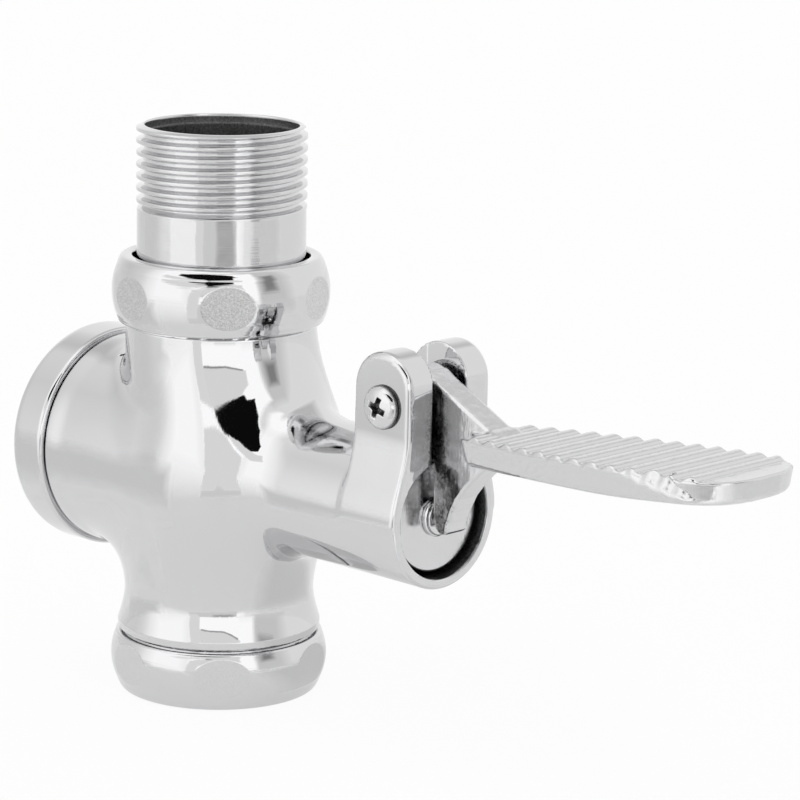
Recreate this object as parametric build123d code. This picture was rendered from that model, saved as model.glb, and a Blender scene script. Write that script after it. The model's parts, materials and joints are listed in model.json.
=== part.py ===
"""Foot pedal flush valve, in millimetres.

The origin is on the flow axis, at the bottom face of the outlet nut. +Z runs up the flow axis to
the inlet, +X along the barrel to the pedal, and +Y completes the frame.
Water comes in at the top, waits behind the piston in the rear chamber, and leaves at the bottom
when the pedal pushes the rod and the piston off the seat.
"""
import math
import os

from build123d import *

# Clearances and small common sizes
RUN = 0.05             # radial running clearance of a shaft in its hole
FIT = 0.10             # clearance between parts that are screwed or laid together
GAP = 0.30             # clearance between parts that move past each other
EDGE = 0.6             # broken edge on turned and cast parts

# Heights on the flow axis
OUTLET_NUT_H = 11.5    # outlet nut, from its bottom face at z = 0
LIP_GAP = 0.6          # dark line between the outlet nut and the body's lip
BARREL_Z = 45.4        # height of the barrel and chamber axis
UNION_Z = 73.7         # bottom face of the inlet union nut
UNION_H = 13.0         # height of the inlet union nut
UNION_WEB_T = 2.3      # end wall of the inlet union nut
UNION_SEAM = 0.4       # dark line between the union nut and the neck
TOTAL_H = 112.0        # top of the nipple above the bottom face

# Upright tube of the body
NECK_R = 18.6          # outside radius of the necks
LIP_R = 20.0           # lip above the outlet nut
LIP_H = 1.6            # straight part of the lip
LIP_FLARE_H = 7.0      # height over which the neck flares to the lip
LIP_BEND = (0.35, 3.15) # a point of the flare: out from the neck and up from its lower end
SPIGOT_R = 18.4        # threaded spigots under both nuts, thread shown as its major size
INLET_BORE_R = 14.0    # bore from the nipple down to the chamber
OUTLET_BORE_R = 12.5   # bore below the seat
BRIDGE_T = 5.0         # metal between the inlet bore and the outlet cavity
PORT_X = 12.6          # middle of the port from the inlet bore to the chamber, behind the flow axis
PORT_RISE = 2.2        # and above the inlet bore's floor
PORT_L = 22.0
PORT_W = 18.0
PORT_H = 7.0
PORT_TILT = 38.0       # degrees

# Rear chamber and its cap
CHAMBER_R = 17.4       # bore that the piston cup slides in
CHAMBER_WALL = 3.7     # wall of the chamber
FLANGE_R = 21.4        # collar beside the cap
FLANGE_X = 28.3        # distance of the collar's rear face behind the flow axis
FLANGE_T = 2.4
CAP_SEAM = 0.5         # dark line between collar and cap
CAP_R = 22.3
CAP_DEPTH = 8.7        # length of the cap
CAP_WALL = 3.2
CAP_ROUND = 2.2
CAP_SPIGOT_R = 20.0    # threaded spigot inside the cap
CAP_GASKET_T = 1.4

# Front barrel and ears
BARREL_R = 13.6
BARREL_X = 61.2        # end face of the barrel, from the flow axis
PLUNGER_BORE_R = 11.65
PLUNGER_BORE_DEPTH = 27.2
EAR_GAP = 8.6          # between the ears' inner faces
EAR_T = 6.45
EAR_R = 6.8            # round top of an ear
EAR_RISE = 25.0        # centre of that round above the barrel axis
EAR_LEAN = 0.6         # the ear's rear edge leans this much over its height
EAR_FOOT = 9.0         # where an ear's outer face leaves the round barrel, degrees above its middle
EAR_STRAIGHT = 15.6    # height above the barrel axis from which that face is upright
PIVOT_BACK = 6.1       # pivot axis behind the barrel's end face
PIVOT_RISE = 21.6      # pivot axis above the barrel axis
SLOT_DEPTH = 9.2       # slot in the barrel's top for the pedal's arm
SLOT_DROP = 13.0       # slot's floor below the pivot

# Blends of the casting
SHOULDER_X = 2.0       # where the chamber starts to narrow, in front of the flow axis
SHOULDER_R = 40.0      # both arcs of the shoulder that runs into the barrel
BLEND_R = 7.2          # fillet between the upright tube and the chamber and barrel

# Seat between chamber and outlet
SEAT_X = 15.5          # front wall of the chamber, behind the flow axis
SEAT_DEPTH = 2.4       # how deep the seat ring goes into the wall
SEAT_R = 10.5          # outside radius of the seat ring
SEAT_BORE_R = 8.5
SEAT_LIP = 1.2         # width of the lip that meets the washer
SEAT_FLANGE_R = 11.3
SEAT_FLANGE_T = 1.4

# Inlet nipple: 1 inch parallel pipe thread
THREAD_R = 16.62       # major radius
THREAD_PITCH = 2.309
THREAD_DEPTH = 1.48
THREAD_TURNS = 7
THREAD_CREST = 0.45    # flat on each crest
THREAD_LEAN = 0.8      # share of the flank's length below each crest
NIPPLE_R = 16.45       # plain part below the thread
NIPPLE_BORE_R = 14.7
NIPPLE_FLANGE_R = 18.1
NIPPLE_FLANGE_T = 2.2
GASKET_T = 1.5

# Nuts: a barrel shape with six ground flats
NUT_R = 21.28
NUT_MOUTH_R = 17.36    # hole round the nipple
NUT_FLAT_DEPTH = 0.67  # how deep a flat is ground into the round
NUT_ROUND = 2.9        # width of the round on the closed end
NUT_ROUND_H = 3.1      # its height
NUT_BEND = (1.2, 1.0)  # its middle, in from the widest ring and down from the face
NUT_FOOT_STEP = 1.1    # open end is this much smaller in radius than the widest ring
NUT_HEAD_STEP = 0.55   # the same, where the round of the closed end starts
NUT_FLAT_W = 14.0
NUT_FLAT_H = 9.5
NUT_FLATS = 6
NUT_TURN = -42.0       # the flat nearest the viewer of the front side, degrees from +X
UNION_WIDEST = 5.6     # widest ring above the union nut's bottom face
OUTLET_WIDEST = 6.1    # widest ring above the outlet nut's bottom face
OUTLET_WEB_T = 1.8     # end wall of the outlet nut

# Flush pipe socket
PIPE_R = 16.1          # socket for a 32 mm flush pipe, from the nut's mouth to the stop
PIPE_STOP_Z = 22.0     # the pipe's end stop
SLIP_RING_T = 1.0
SEAL_STEP = 0.5        # the seal and slip ring are this much smaller in radius than the thread
SEAL_H = 3.4           # straight part of the cone seal
SEAL_CONE = 1.5        # its cone

# Plunger
PLUNGER_R = 10.6
PLUNGER_BACK = 1.7     # the cup's front face behind the barrel's end face
PLUNGER_FACE_T = 2.5
PLUNGER_SKIRT = 9.5
PLUNGER_WALL = 1.2
BUTTON_R = 5.2
BUTTON_H = 2.0
BUTTON_DOME = 0.5      # rise of the button's crown
BUTTON_SHANK_R = 2.0
BUTTON_SHANK = 9.0
ROD_R = 3.0
CLIP_R = 5.0
CLIP_T = 0.8
CLIP_GROOVE = 0.6
CLIP_SEAT_X = 15.0     # wall that the clip rests against
CLIP_MOUTH = 2.6
CLIP_RECESS_R = 6.2
ROD_ROOM = 0.4         # clearance of the rod in the wall behind its gland
ROD_TIP_X = 13.4       # rod's rear tip, behind the flow axis

# Guide bush in the barrel
BUSH_R = 8.9
BUSH_LENGTH = 10.0
BUSH_FLANGE_R = 11.0
BUSH_FLANGE_T = 2.0
RING_R = 0.9           # section radius of the two seal rings
RING_ROOM = 0.2        # extra width of their grooves
ROD_RING_AT = 0.3      # places of the two rings, as shares of the bush's length
BUSH_RING_AT = 0.68

# Piston
WASHER_R = 11.6
WASHER_T = 2.0
PISTON_R = 16.2
PISTON_T = 4.2
CUP_T = 1.8
CUP_LIP = 2.0
CUP_WALL = 1.1
CUP_TAPER = 0.6        # the lip is this much thicker at its root
RETAINER_R = 13.2
RETAINER_T = 1.2
PIN_R = 2.2
PIN_GAP = 0.5          # between the rod's tip and the pin's tip at rest
PIN_HEAD_R = 3.7
PIN_HEAD_T = 1.2
PIN_FACE = 0.6         # depth of the pin's seat behind the piston's front face
PIN_SEAL_T = 1.2
HUB_WALL = 2.0         # wall of the piston's front hub, inside the seat washer
TURRET_R = 6.4         # turret that holds the pin's spring
TURRET_H = 1.0
PLUG_T = 1.2           # plug that closes the turret
PLUG_HOLE_R = 1.4
REFILL_R = 0.6         # slow refill hole
REFILL_PLACE = 14.2    # its distance from the barrel axis
SCREWS = 3
SCREW_PCD_R = 10.6
SCREW_R = 1.0
SCREW_HEAD_R = 1.8
SCREW_HEAD_T = 0.7
SCREW_SLOT = 0.5
SCREW_STOP = 1.2       # metal in front of a screw's end
SCREW_TURN = 30.0      # place of the first screw, degrees

# Springs: mean radius, wire radius, turns
RETURN_SPRING = (7.6, 0.8, 7.0)
PISTON_SPRING = (7.6, 0.35, 2.0)
RELIEF_SPRING = (3.0, 0.25, 2.25)

# Pedal
ARM_T = 7.5            # thickness of the arm, between the ears
BOSS_R = 7.6
TOE_CLEAR = 0.6        # toe's rear face in front of the barrel's end face
TOE_DROP = 24.0        # toe's bottom below the pivot
TOE_W = 3.0            # toe's width at the bottom
TOE_ROUND = 1.8        # round at the toe's rear corner
TOE_SOFT = 1.2         # round at the toe's front corner
TOE_TOP = -10.6        # top of the toe's upright rear face, over the pivot
# Corners of the arm's side view, from the pivot: forward and up
ARM_TOP_REAR = (3.6, 6.7)
ARM_TOP_FRONT = (19.3, -1.6)
ARM_NOSE = (22.0, -3.3)
ARM_UNDER_FRONT = 20.0
ARM_UNDER_REAR = 16.6
ARM_KNEE = (15.2, -12.4)
ARM_SHIN = (11.6, -18.4)
ARM_BACK = (3.2, -6.9)
WEB_DROP = 0.6         # the arm reaches this much below the plate
TREAD_RISE = 0.06      # slope of the tread plate
TREAD_TOP = -3.06      # height of the tread over the pivot, 24.9 mm in front of it
TREAD_REF = 24.9
TREAD_T = 5.0
TREAD_START = 15.6     # plate's rear end in front of the pivot
TREAD_END = 81.2       # plate's tip in front of the pivot
TREAD_HALF_START = 7.4
TREAD_HALF_MID = 11.3
TREAD_HALF = 12.7
TREAD_DRAFT = 8.0      # degrees
TREAD_MID = 38.4       # where the plate is TREAD_HALF_MID wide, in front of the pivot
TREAD_BEND = 67.2      # where the straight sides end
TREAD_TIP_HALF = 3.6   # half of the straight front edge
TREAD_CUT = (2.6, 3.6) # middle of the corner's round, in from the tip and from the side
RIB_PITCH = 4.48
RIB_R = 1.9
RIB_H = 0.75
RIB_START = 20.1       # first rib in front of the pivot
RIBS = 13
SCREW_SHANK_R = 2.6
PAN_R = 4.2
PAN_H = 2.0
PAN_ROUND = 1.1
CROSS_W = 1.1
CROSS_L = 4.6
CROSS_DEPTH = 1.2
CROSS_TURN = 20.0      # degrees

# Worked out from the sizes above
SEAL_R = SPIGOT_R - SEAL_STEP
BODY_FOOT_Z = OUTLET_WEB_T + SLIP_RING_T + SEAL_H + 2 * FIT
LIP_Z = OUTLET_NUT_H + LIP_GAP
UNION_TOP = UNION_Z + UNION_H
NIPPLE_FLANGE_Z = UNION_TOP - UNION_WEB_T - FIT - NIPPLE_FLANGE_T
BODY_TOP = NIPPLE_FLANGE_Z - GASKET_T
PIVOT_X = BARREL_X - PIVOT_BACK
PIVOT_Z = BARREL_Z + PIVOT_RISE
PLUNGER_X = BARREL_X - PLUNGER_BACK
BORE_FLOOR = BARREL_X - PLUNGER_BORE_DEPTH
BUSH_FRONT = BORE_FLOOR + BUSH_FLANGE_T
CAP_FRONT = FLANGE_X + CAP_SEAM
CAP_REAR = CAP_FRONT + CAP_DEPTH
CAP_INSIDE = CAP_REAR - CAP_WALL
CHAMBER_END = CAP_INSIDE - CAP_GASKET_T
WASHER_X = SEAT_X + SEAT_FLANGE_T + FIT
PISTON_X = WASHER_X + WASHER_T
CUP_X = PISTON_X + PISTON_T
RETAINER_X = CUP_X + CUP_T
RETAINER_BACK = RETAINER_X + RETAINER_T
TURRET_END = RETAINER_BACK + TURRET_H
PIN_SEAT_X = PISTON_X + PIN_FACE
PIN_HEAD_X = PIN_SEAT_X + PIN_SEAL_T
EAR_OUT = EAR_GAP / 2 + EAR_T
BUSH_REAR = BORE_FLOOR - BUSH_LENGTH
CLIP_X = CLIP_SEAT_X - GAP - CLIP_T
INLET_FLOOR = BARREL_Z + OUTLET_BORE_R + BRIDGE_T


def show(name, shape):
    """Write one sub-part as parts/NAME.step."""
    shape.label = name
    export_step(shape, f"parts/{name}.step")
    print(f"{name}: {shape.volume / 1000:.2f} cm3")


def upright(radius, low, high, x=0.0):
    """A cylinder on the flow axis, from one height to another."""
    tube = Cylinder(radius, high - low, align=(Align.CENTER, Align.CENTER, Align.MIN))
    return Pos(x, 0, low) * tube


def lengthwise(radius, low, high):
    """A cylinder on the barrel axis, from one x to another."""
    rod = Cylinder(radius, high - low, align=(Align.CENTER, Align.CENTER, Align.MIN))
    return Pos(low, 0, BARREL_Z) * (Rot(0, 90, 0) * rod)


def turned_upright(outline):
    """Turn a closed outline of (radius, z) about the flow axis."""
    return revolve(Plane.XZ * make_face(outline), Axis.Z)


def turned_lengthwise(outline):
    """Turn a closed outline of (x, radius) about the barrel axis."""
    face = make_face(Plane.XZ * outline)
    return Pos(0, 0, BARREL_Z) * revolve(face, Axis.X)


def ring_upright(inner, outer, low, high):
    """A plain ring on the flow axis."""
    return upright(outer, low, high) - upright(inner, low, high)


def ring_lengthwise(inner, outer, low, high):
    """A plain ring on the barrel axis."""
    return lengthwise(outer, low, high) - lengthwise(inner, low, high)


def seal_ring(mean_r, x):
    """A round-section ring on the barrel axis."""
    return Pos(x, 0, BARREL_Z) * (Rot(0, 90, 0) * Torus(mean_r, RING_R))


def helix_point(radius, pitch, angle):
    """Point and unit direction on a helix along +Z."""
    rise = pitch / (2 * math.pi)
    place = Vector(radius * math.cos(angle), radius * math.sin(angle), rise * angle)
    way = Vector(-radius * math.sin(angle), radius * math.cos(angle), rise).normalized()
    return place, way


def biarc(start, start_way, end, end_way):
    """Two arcs that leave start and reach end in the given directions."""
    chord = end - start
    ways = start_way + end_way
    spread = 2 * (1 - start_way.dot(end_way))
    along = chord.dot(ways)
    reach = (-along + math.sqrt(along * along + spread * chord.dot(chord))) / spread
    middle = (start + end + (start_way - end_way) * reach) * 0.5
    first = TangentArc(start, middle, tangent=start_way)
    second = TangentArc(middle, end, tangent=(middle - start - start_way * reach).normalized())
    return [first, second]


def coil(name, mean_r, wire_r, turns, length):
    """A spring along +Z from z = 0 to length: a helix of quarter-turn biarcs, wire centres inside."""
    pitch = (length - 2 * wire_r) / turns
    steps = round(turns * 4)
    path = []
    for step in range(steps):
        a, a_way = helix_point(mean_r, pitch, math.pi / 2 * step)
        b, b_way = helix_point(mean_r, pitch, math.pi / 2 * (step + 1))
        path += biarc(a, a_way, b, b_way)
    start, way = helix_point(mean_r, pitch, 0)
    section = Plane(origin=start, z_dir=way) * Circle(wire_r)
    turn_on = [helix_point(mean_r, pitch, 2 * math.pi + step / 100)[0] for step in range(-30, 31)]
    gap = min((point - start).length for point in turn_on) - 2 * wire_r
    print(f"{name}: {turns} turns, gap between turns {gap:.2f} mm")
    return Pos(0, 0, wire_r) * sweep(section, path=Wire(path))


def spring_between(name, sizes, low, high):
    """A spring on the barrel axis, between two faces."""
    mean_r, wire_r, turns = sizes
    spring = coil(name, mean_r, wire_r, turns, high - low - 2 * FIT)
    return Pos(low + FIT, 0, BARREL_Z) * (Rot(0, 90, 0) * spring)


def nut_profile(height, widest, mouth_r, bore_r, web_t):
    """Half section of a nut whose closed end is up: barrel-shaped outside, bored from below."""
    low_r = NUT_R - NUT_FOOT_STEP
    face_r = NUT_R - NUT_ROUND
    shoulder = (NUT_R - NUT_HEAD_STEP, height - NUT_ROUND_H)
    crown = Polyline((mouth_r, height), (face_r, height))
    bend = ThreePointArc((face_r, height), (NUT_R - NUT_BEND[0], height - NUT_BEND[1]), shoulder)
    belly = ThreePointArc(shoulder, (NUT_R, widest), (low_r, EDGE))
    foot = Polyline((low_r, EDGE), (low_r - EDGE, 0), (bore_r, 0), (bore_r, height - web_t),
                    (mouth_r, height - web_t), (mouth_r, height))
    return crown + bend + belly + foot


def with_flats(nut, middle_z):
    """Grind six flats into the widest part of a nut."""
    reach = NUT_R - NUT_FLAT_DEPTH
    for index in range(NUT_FLATS):
        turn = Rot(0, 0, NUT_TURN + index * 360 / NUT_FLATS)
        block = Pos(reach + NUT_FLAT_W / 2, 0, middle_z) * Box(NUT_FLAT_W, NUT_FLAT_W, NUT_FLAT_H)
        nut -= turn * block
    return nut


def make_inlet_nipple():
    """Flanged nipple with ridges of the thread's real depth and pitch."""
    root_r = THREAD_R - THREAD_DEPTH
    flank = (THREAD_PITCH - THREAD_CREST) / 2
    points = [(NIPPLE_BORE_R, NIPPLE_FLANGE_Z), (NIPPLE_FLANGE_R, NIPPLE_FLANGE_Z)]
    points.append((NIPPLE_FLANGE_R, NIPPLE_FLANGE_Z + NIPPLE_FLANGE_T - EDGE / 2))
    points.append((NIPPLE_FLANGE_R - EDGE / 2, NIPPLE_FLANGE_Z + NIPPLE_FLANGE_T))
    points.append((NIPPLE_R, NIPPLE_FLANGE_Z + NIPPLE_FLANGE_T))
    first = TOTAL_H - THREAD_TURNS * THREAD_PITCH
    points.append((NIPPLE_R, first - flank))
    for turn in range(THREAD_TURNS):
        base = first + turn * THREAD_PITCH
        points.append((root_r, base))
        points.append((THREAD_R, base + flank * THREAD_LEAN))
        points.append((THREAD_R, base + flank * THREAD_LEAN + THREAD_CREST))
    points.append((root_r, TOTAL_H - EDGE / 2))
    points.append((root_r, TOTAL_H))
    points.append((NIPPLE_BORE_R, TOTAL_H))
    return turned_upright(Polyline(*points, close=True))


def make_inlet_union_nut():
    """Union nut: closed end up, round the nipple, over its flange."""
    outline = nut_profile(UNION_H, UNION_WIDEST, NUT_MOUTH_R, SPIGOT_R + FIT, UNION_WEB_T)
    nut = turned_upright(outline)
    return Pos(0, 0, UNION_Z) * with_flats(nut, UNION_WIDEST)


def make_outlet_nut():
    """Outlet nut: closed end down, round the flush pipe."""
    outline = nut_profile(OUTLET_NUT_H, OUTLET_NUT_H - OUTLET_WIDEST, PIPE_R, SPIGOT_R + FIT, OUTLET_WEB_T)
    nut = with_flats(turned_upright(outline), OUTLET_NUT_H - OUTLET_WIDEST)
    return Pos(0, 0, OUTLET_NUT_H) * (Rot(180, 0, 0) * nut)


def make_outlet_cone_seal():
    """Rubber seal: a straight ring and a cone that wedges into the body's foot."""
    low = OUTLET_WEB_T + SLIP_RING_T + FIT
    top = low + SEAL_H + SEAL_CONE
    outline = Polyline((PIPE_R, low), (SEAL_R, low), (SEAL_R, low + SEAL_H), (PIPE_R + RUN, top),
                       (PIPE_R, top), close=True)
    return turned_upright(outline)


def tube_outside():
    """The upright tube with its lip and both spigots, solid."""
    outline = Polyline((0, BODY_FOOT_Z), (SPIGOT_R, BODY_FOOT_Z), (SPIGOT_R, LIP_Z), (LIP_R, LIP_Z),
                       (LIP_R, LIP_Z + LIP_H))
    low = (LIP_R, LIP_Z + LIP_H)
    high = (NECK_R, LIP_Z + LIP_H + LIP_FLARE_H)
    flare = ThreePointArc(low, (NECK_R + LIP_BEND[0], LIP_Z + LIP_H + LIP_BEND[1]), high)
    rest = Polyline(high, (NECK_R, UNION_Z - UNION_SEAM),
                    (SPIGOT_R, UNION_Z - UNION_SEAM), (SPIGOT_R, BODY_TOP), (0, BODY_TOP), (0, BODY_FOOT_Z))
    return turned_upright(outline + flare + rest)


def chamber_outside():
    """Chamber, shoulder and barrel, turned about the barrel axis, solid."""
    wide = CHAMBER_R + CHAMBER_WALL
    drop = wide - BARREL_R
    run = math.sqrt(2 * SHOULDER_R * drop - drop * drop / 2)
    middle = (SHOULDER_X + run / 2, (wide + BARREL_R) / 2)
    outline = Polyline((-CHAMBER_END, 0), (-CHAMBER_END, CAP_SPIGOT_R), (-FLANGE_X, CAP_SPIGOT_R),
                       (-FLANGE_X, FLANGE_R), (-FLANGE_X + FLANGE_T, FLANGE_R),
                       (-FLANGE_X + FLANGE_T + (FLANGE_R - wide), wide), (SHOULDER_X, wide))
    convex = TangentArc((SHOULDER_X, wide), middle, tangent=(1, 0))
    concave = TangentArc((SHOULDER_X + run, BARREL_R), middle, tangent=(-1, 0))
    rest = Polyline((SHOULDER_X + run, BARREL_R), (BARREL_X - EDGE, BARREL_R), (BARREL_X, BARREL_R - EDGE),
                    (BARREL_X, 0), (-CHAMBER_END, 0))
    return turned_lengthwise(outline + convex + concave + rest)


def ears():
    """Two ears that carry the pivot, flush with the barrel's end face."""
    base_z = BARREL_Z + BARREL_R * math.sin(math.radians(EAR_FOOT))
    base_y = BARREL_R * math.cos(math.radians(EAR_FOOT))
    centre_z = BARREL_Z + EAR_RISE
    front = BARREL_X
    back = BARREL_X - 2 * EAR_R
    side = Polyline((base_y, base_z), (EAR_OUT, BARREL_Z + EAR_STRAIGHT), (EAR_OUT, centre_z + EAR_R),
                    (EAR_GAP / 2, centre_z + EAR_R), (EAR_GAP / 2, base_z), close=True)
    block = extrude(Plane.YZ.offset(back - EAR_R) * make_face(side), amount=3 * EAR_R)
    face = make_face(Polyline((back - EAR_LEAN, BARREL_Z), (front, BARREL_Z), (front, centre_z))
                     + ThreePointArc((front, centre_z), (front - EAR_R, centre_z + EAR_R),
                                     (back, centre_z))
                     + Polyline((back, centre_z), (back - EAR_LEAN, BARREL_Z)))
    width = 2 * BARREL_R
    shape = extrude(Plane.XZ.offset(-width) * face, amount=2 * width)
    ear = block & shape
    return ear + mirror(ear, Plane.XZ)


def flow_passages():
    """Everything that is bored out of the body."""
    hollow = upright(INLET_BORE_R, INLET_FLOOR, BODY_TOP)
    hollow += upright(OUTLET_BORE_R, BODY_FOOT_Z, BARREL_Z)
    hollow += Pos(0, 0, BARREL_Z) * Sphere(OUTLET_BORE_R)
    hollow += upright(PIPE_R, BODY_FOOT_Z, PIPE_STOP_Z)
    mouth = SEAL_R + FIT
    cone_h = SEAL_CONE * (mouth - PIPE_R) / (SEAL_R - PIPE_R)
    hollow += Pos(0, 0, BODY_FOOT_Z + cone_h / 2) * Cone(mouth, PIPE_R, cone_h)
    hollow += lengthwise(CHAMBER_R, -CHAMBER_END, -SEAT_X)
    hollow += lengthwise(SEAT_R + FIT / 2, -SEAT_X, -SEAT_X + SEAT_DEPTH)
    hollow += lengthwise(SEAT_BORE_R, -SEAT_X, 0)
    port = Rot(0, -PORT_TILT, 0) * Box(PORT_L, PORT_W, PORT_H)
    hollow += Pos(-PORT_X, 0, INLET_FLOOR + PORT_RISE) * port
    hollow += lengthwise(CLIP_RECESS_R, 0, CLIP_SEAT_X)
    hollow += lengthwise(ROD_R + ROD_ROOM, 0, BUSH_REAR + FIT)
    hollow += lengthwise(BUSH_R + FIT, BUSH_REAR, BARREL_X)
    hollow += lengthwise(PLUNGER_BORE_R, BORE_FLOOR, BARREL_X)
    return hollow


def make_valve_body():
    """The brass casting, bored and slotted."""
    solid = tube_outside() + chamber_outside()
    crease = [edge for edge in solid.edges() if edge.geom_type == GeomType.BSPLINE and edge.length > EDGE]
    print(f"valve_body: {len(crease)} crease edges blended")
    solid = fillet(crease, BLEND_R)
    solid += ears()
    solid -= flow_passages()
    solid -= Pos(BARREL_X - SLOT_DEPTH / 2, 0, PIVOT_Z - SLOT_DROP / 2) * Box(SLOT_DEPTH, EAR_GAP, SLOT_DROP)
    across = Rot(90, 0, 0) * Cylinder(SCREW_SHANK_R + RUN, 4 * EAR_OUT)
    return solid - Pos(PIVOT_X, 0, PIVOT_Z) * across


def make_rear_cap():
    """Screw cap: thick rim, rounded rear edge."""
    cap = lengthwise(CAP_R, -CAP_REAR, -CAP_FRONT)
    cap = fillet(cap.edges().group_by(Axis.X)[0], CAP_ROUND)
    cap = fillet(cap.edges().group_by(Axis.X)[-1], EDGE)
    return cap - lengthwise(CAP_SPIGOT_R + FIT, -CAP_INSIDE, -CAP_FRONT)


def make_seat_ring():
    """Seat: a flanged ring pushed into the wall, with a narrow raised lip for the washer."""
    outline = Polyline((-SEAT_X + SEAT_DEPTH - FIT, SEAT_BORE_R), (-SEAT_X + SEAT_DEPTH - FIT, SEAT_R),
                       (-SEAT_X, SEAT_R), (-SEAT_X, SEAT_FLANGE_R), (-SEAT_X - SEAT_FLANGE_T / 2, SEAT_FLANGE_R),
                       (-SEAT_X - SEAT_FLANGE_T, SEAT_BORE_R + SEAT_LIP), (-SEAT_X - SEAT_FLANGE_T, SEAT_BORE_R),
                       close=True)
    return turned_lengthwise(outline)


def make_guide_bush():
    """Gland that guides the rod, with one groove inside and one outside."""
    rear = BUSH_REAR + FIT
    bush = lengthwise(BUSH_R, rear, BORE_FLOOR) + lengthwise(BUSH_FLANGE_R, BORE_FLOOR, BUSH_FRONT)
    bush -= lengthwise(ROD_R + RUN, rear, BUSH_FRONT)
    half = RING_R + RING_ROOM / 2
    inner_x, outer_x = ring_places()
    bush -= lengthwise(ROD_R + RUN + 2 * RING_R + FIT, inner_x - half, inner_x + half)
    groove = ring_lengthwise(BUSH_R - 2 * RING_R, BUSH_FLANGE_R, outer_x - half, outer_x + half)
    return bush - groove


def ring_places():
    """Places along the barrel of the rod's ring and the bush's ring."""
    return BUSH_REAR + BUSH_LENGTH * ROD_RING_AT, BUSH_REAR + BUSH_LENGTH * BUSH_RING_AT


def make_plunger_cap():
    """Polished cup: a face with a skirt behind it."""
    cup = lengthwise(PLUNGER_R, PLUNGER_X - PLUNGER_FACE_T - PLUNGER_SKIRT + PLUNGER_WALL, PLUNGER_X)
    cup = fillet(cup.edges().group_by(Axis.X)[-1], EDGE)
    cup -= lengthwise(PLUNGER_R - PLUNGER_WALL, 0, PLUNGER_X - PLUNGER_FACE_T)
    return cup - lengthwise(BUTTON_SHANK_R + FIT, 0, BARREL_X)


def make_plunger_button():
    """Domed button with a shank that screws into the rod."""
    top = PLUNGER_X + BUTTON_H
    outline = Polyline((PLUNGER_X - BUTTON_SHANK, 0), (PLUNGER_X - BUTTON_SHANK, BUTTON_SHANK_R),
                       (PLUNGER_X, BUTTON_SHANK_R), (PLUNGER_X, BUTTON_R), (top - BUTTON_DOME, BUTTON_R))
    crown_r = (BUTTON_R * BUTTON_R + BUTTON_DOME * BUTTON_DOME) / (2 * BUTTON_DOME)
    half = BUTTON_R / 2
    rise = math.sqrt(crown_r * crown_r - half * half) - crown_r
    crown = ThreePointArc((top - BUTTON_DOME, BUTTON_R), (top + rise, half), (top, 0))
    return turned_lengthwise(outline + crown + Line((top, 0), (PLUNGER_X - BUTTON_SHANK, 0)))


def make_push_rod():
    """Rod from the plunger to the pilot pin, with a groove for its clip."""
    front = PLUNGER_X - PLUNGER_FACE_T
    rod = lengthwise(ROD_R, -ROD_TIP_X, front)
    rod = chamfer(rod.edges().group_by(Axis.X)[0], EDGE)
    rod -= lengthwise(BUTTON_SHANK_R + RUN, PLUNGER_X - BUTTON_SHANK - EDGE, front)
    return rod - ring_lengthwise(ROD_R - CLIP_GROOVE, CLIP_R, CLIP_X - FIT, CLIP_X + CLIP_T + FIT)


def make_rod_stop_clip():
    """Open clip in the rod's groove."""
    clip = ring_lengthwise(ROD_R - CLIP_GROOVE + RUN, CLIP_R, CLIP_X, CLIP_X + CLIP_T)
    return clip - Pos(CLIP_X + CLIP_T / 2, 0, BARREL_Z - CLIP_R) * Box(2 * CLIP_T, CLIP_MOUTH, 2 * ROD_R)


def make_piston():
    """Piston with a front hub for the washer and a turret for the pilot's spring."""
    piston = lengthwise(PISTON_R, -CUP_X, -PISTON_X)
    piston = chamfer(piston.edges().group_by(Axis.X)[-1], EDGE)
    piston += lengthwise(TURRET_R, -TURRET_END, -CUP_X)
    piston += lengthwise(PIN_R + HUB_WALL, -PISTON_X, -WASHER_X)
    piston -= lengthwise(PIN_R + RUN, -CAP_REAR, 0)
    piston -= lengthwise(PIN_HEAD_R + GAP, -CAP_REAR, -PIN_SEAT_X)
    return piston - refill_hole(REFILL_R) - piston_screw_set(SCREW_R + RUN, SCREW_R + RUN, 0)


def refill_hole(radius):
    """Slow hole that refills the chamber behind the piston, outside the seat."""
    return Pos(0, 0, REFILL_PLACE) * lengthwise(radius, -CAP_REAR, 0)


def piston_screw_set(shank_r, head_r, head_t):
    """Three screws, or their holes, through the retainer and the cup into the piston."""
    group = None
    for index in range(SCREWS):
        angle = math.radians(SCREW_TURN + index * 360 / SCREWS)
        place = Pos(0, SCREW_PCD_R * math.cos(angle), SCREW_PCD_R * math.sin(angle))
        screw = lengthwise(shank_r, -RETAINER_BACK, -PISTON_X - SCREW_STOP)
        if head_t:
            screw += lengthwise(head_r, -RETAINER_BACK - head_t, -RETAINER_BACK)
            screw -= Pos(-RETAINER_BACK - head_t, 0, BARREL_Z) * Box(head_t, SCREW_SLOT, 2 * head_r)
        group = place * screw if group is None else group + place * screw
    return group


def make_seat_washer():
    """Rubber disc that shuts the seat."""
    return ring_lengthwise(PIN_R + HUB_WALL + FIT, WASHER_R, -PISTON_X, -WASHER_X)


def make_piston_cup():
    """Rubber cup: a flat web and a lip that opens to the rear."""
    outer = CHAMBER_R - RUN
    inner = TURRET_R + FIT
    back = RETAINER_X + CUP_LIP
    outline = Polyline((-CUP_X, inner), (-CUP_X, outer - EDGE), (-CUP_X - EDGE, outer), (-back, outer),
                       (-back, outer - CUP_WALL), (-RETAINER_X, outer - CUP_WALL - CUP_TAPER),
                       (-RETAINER_X, inner), close=True)
    return turned_lengthwise(outline) - refill_hole(REFILL_R + FIT) - piston_screw_set(SCREW_R + FIT, SCREW_R, 0)


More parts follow.
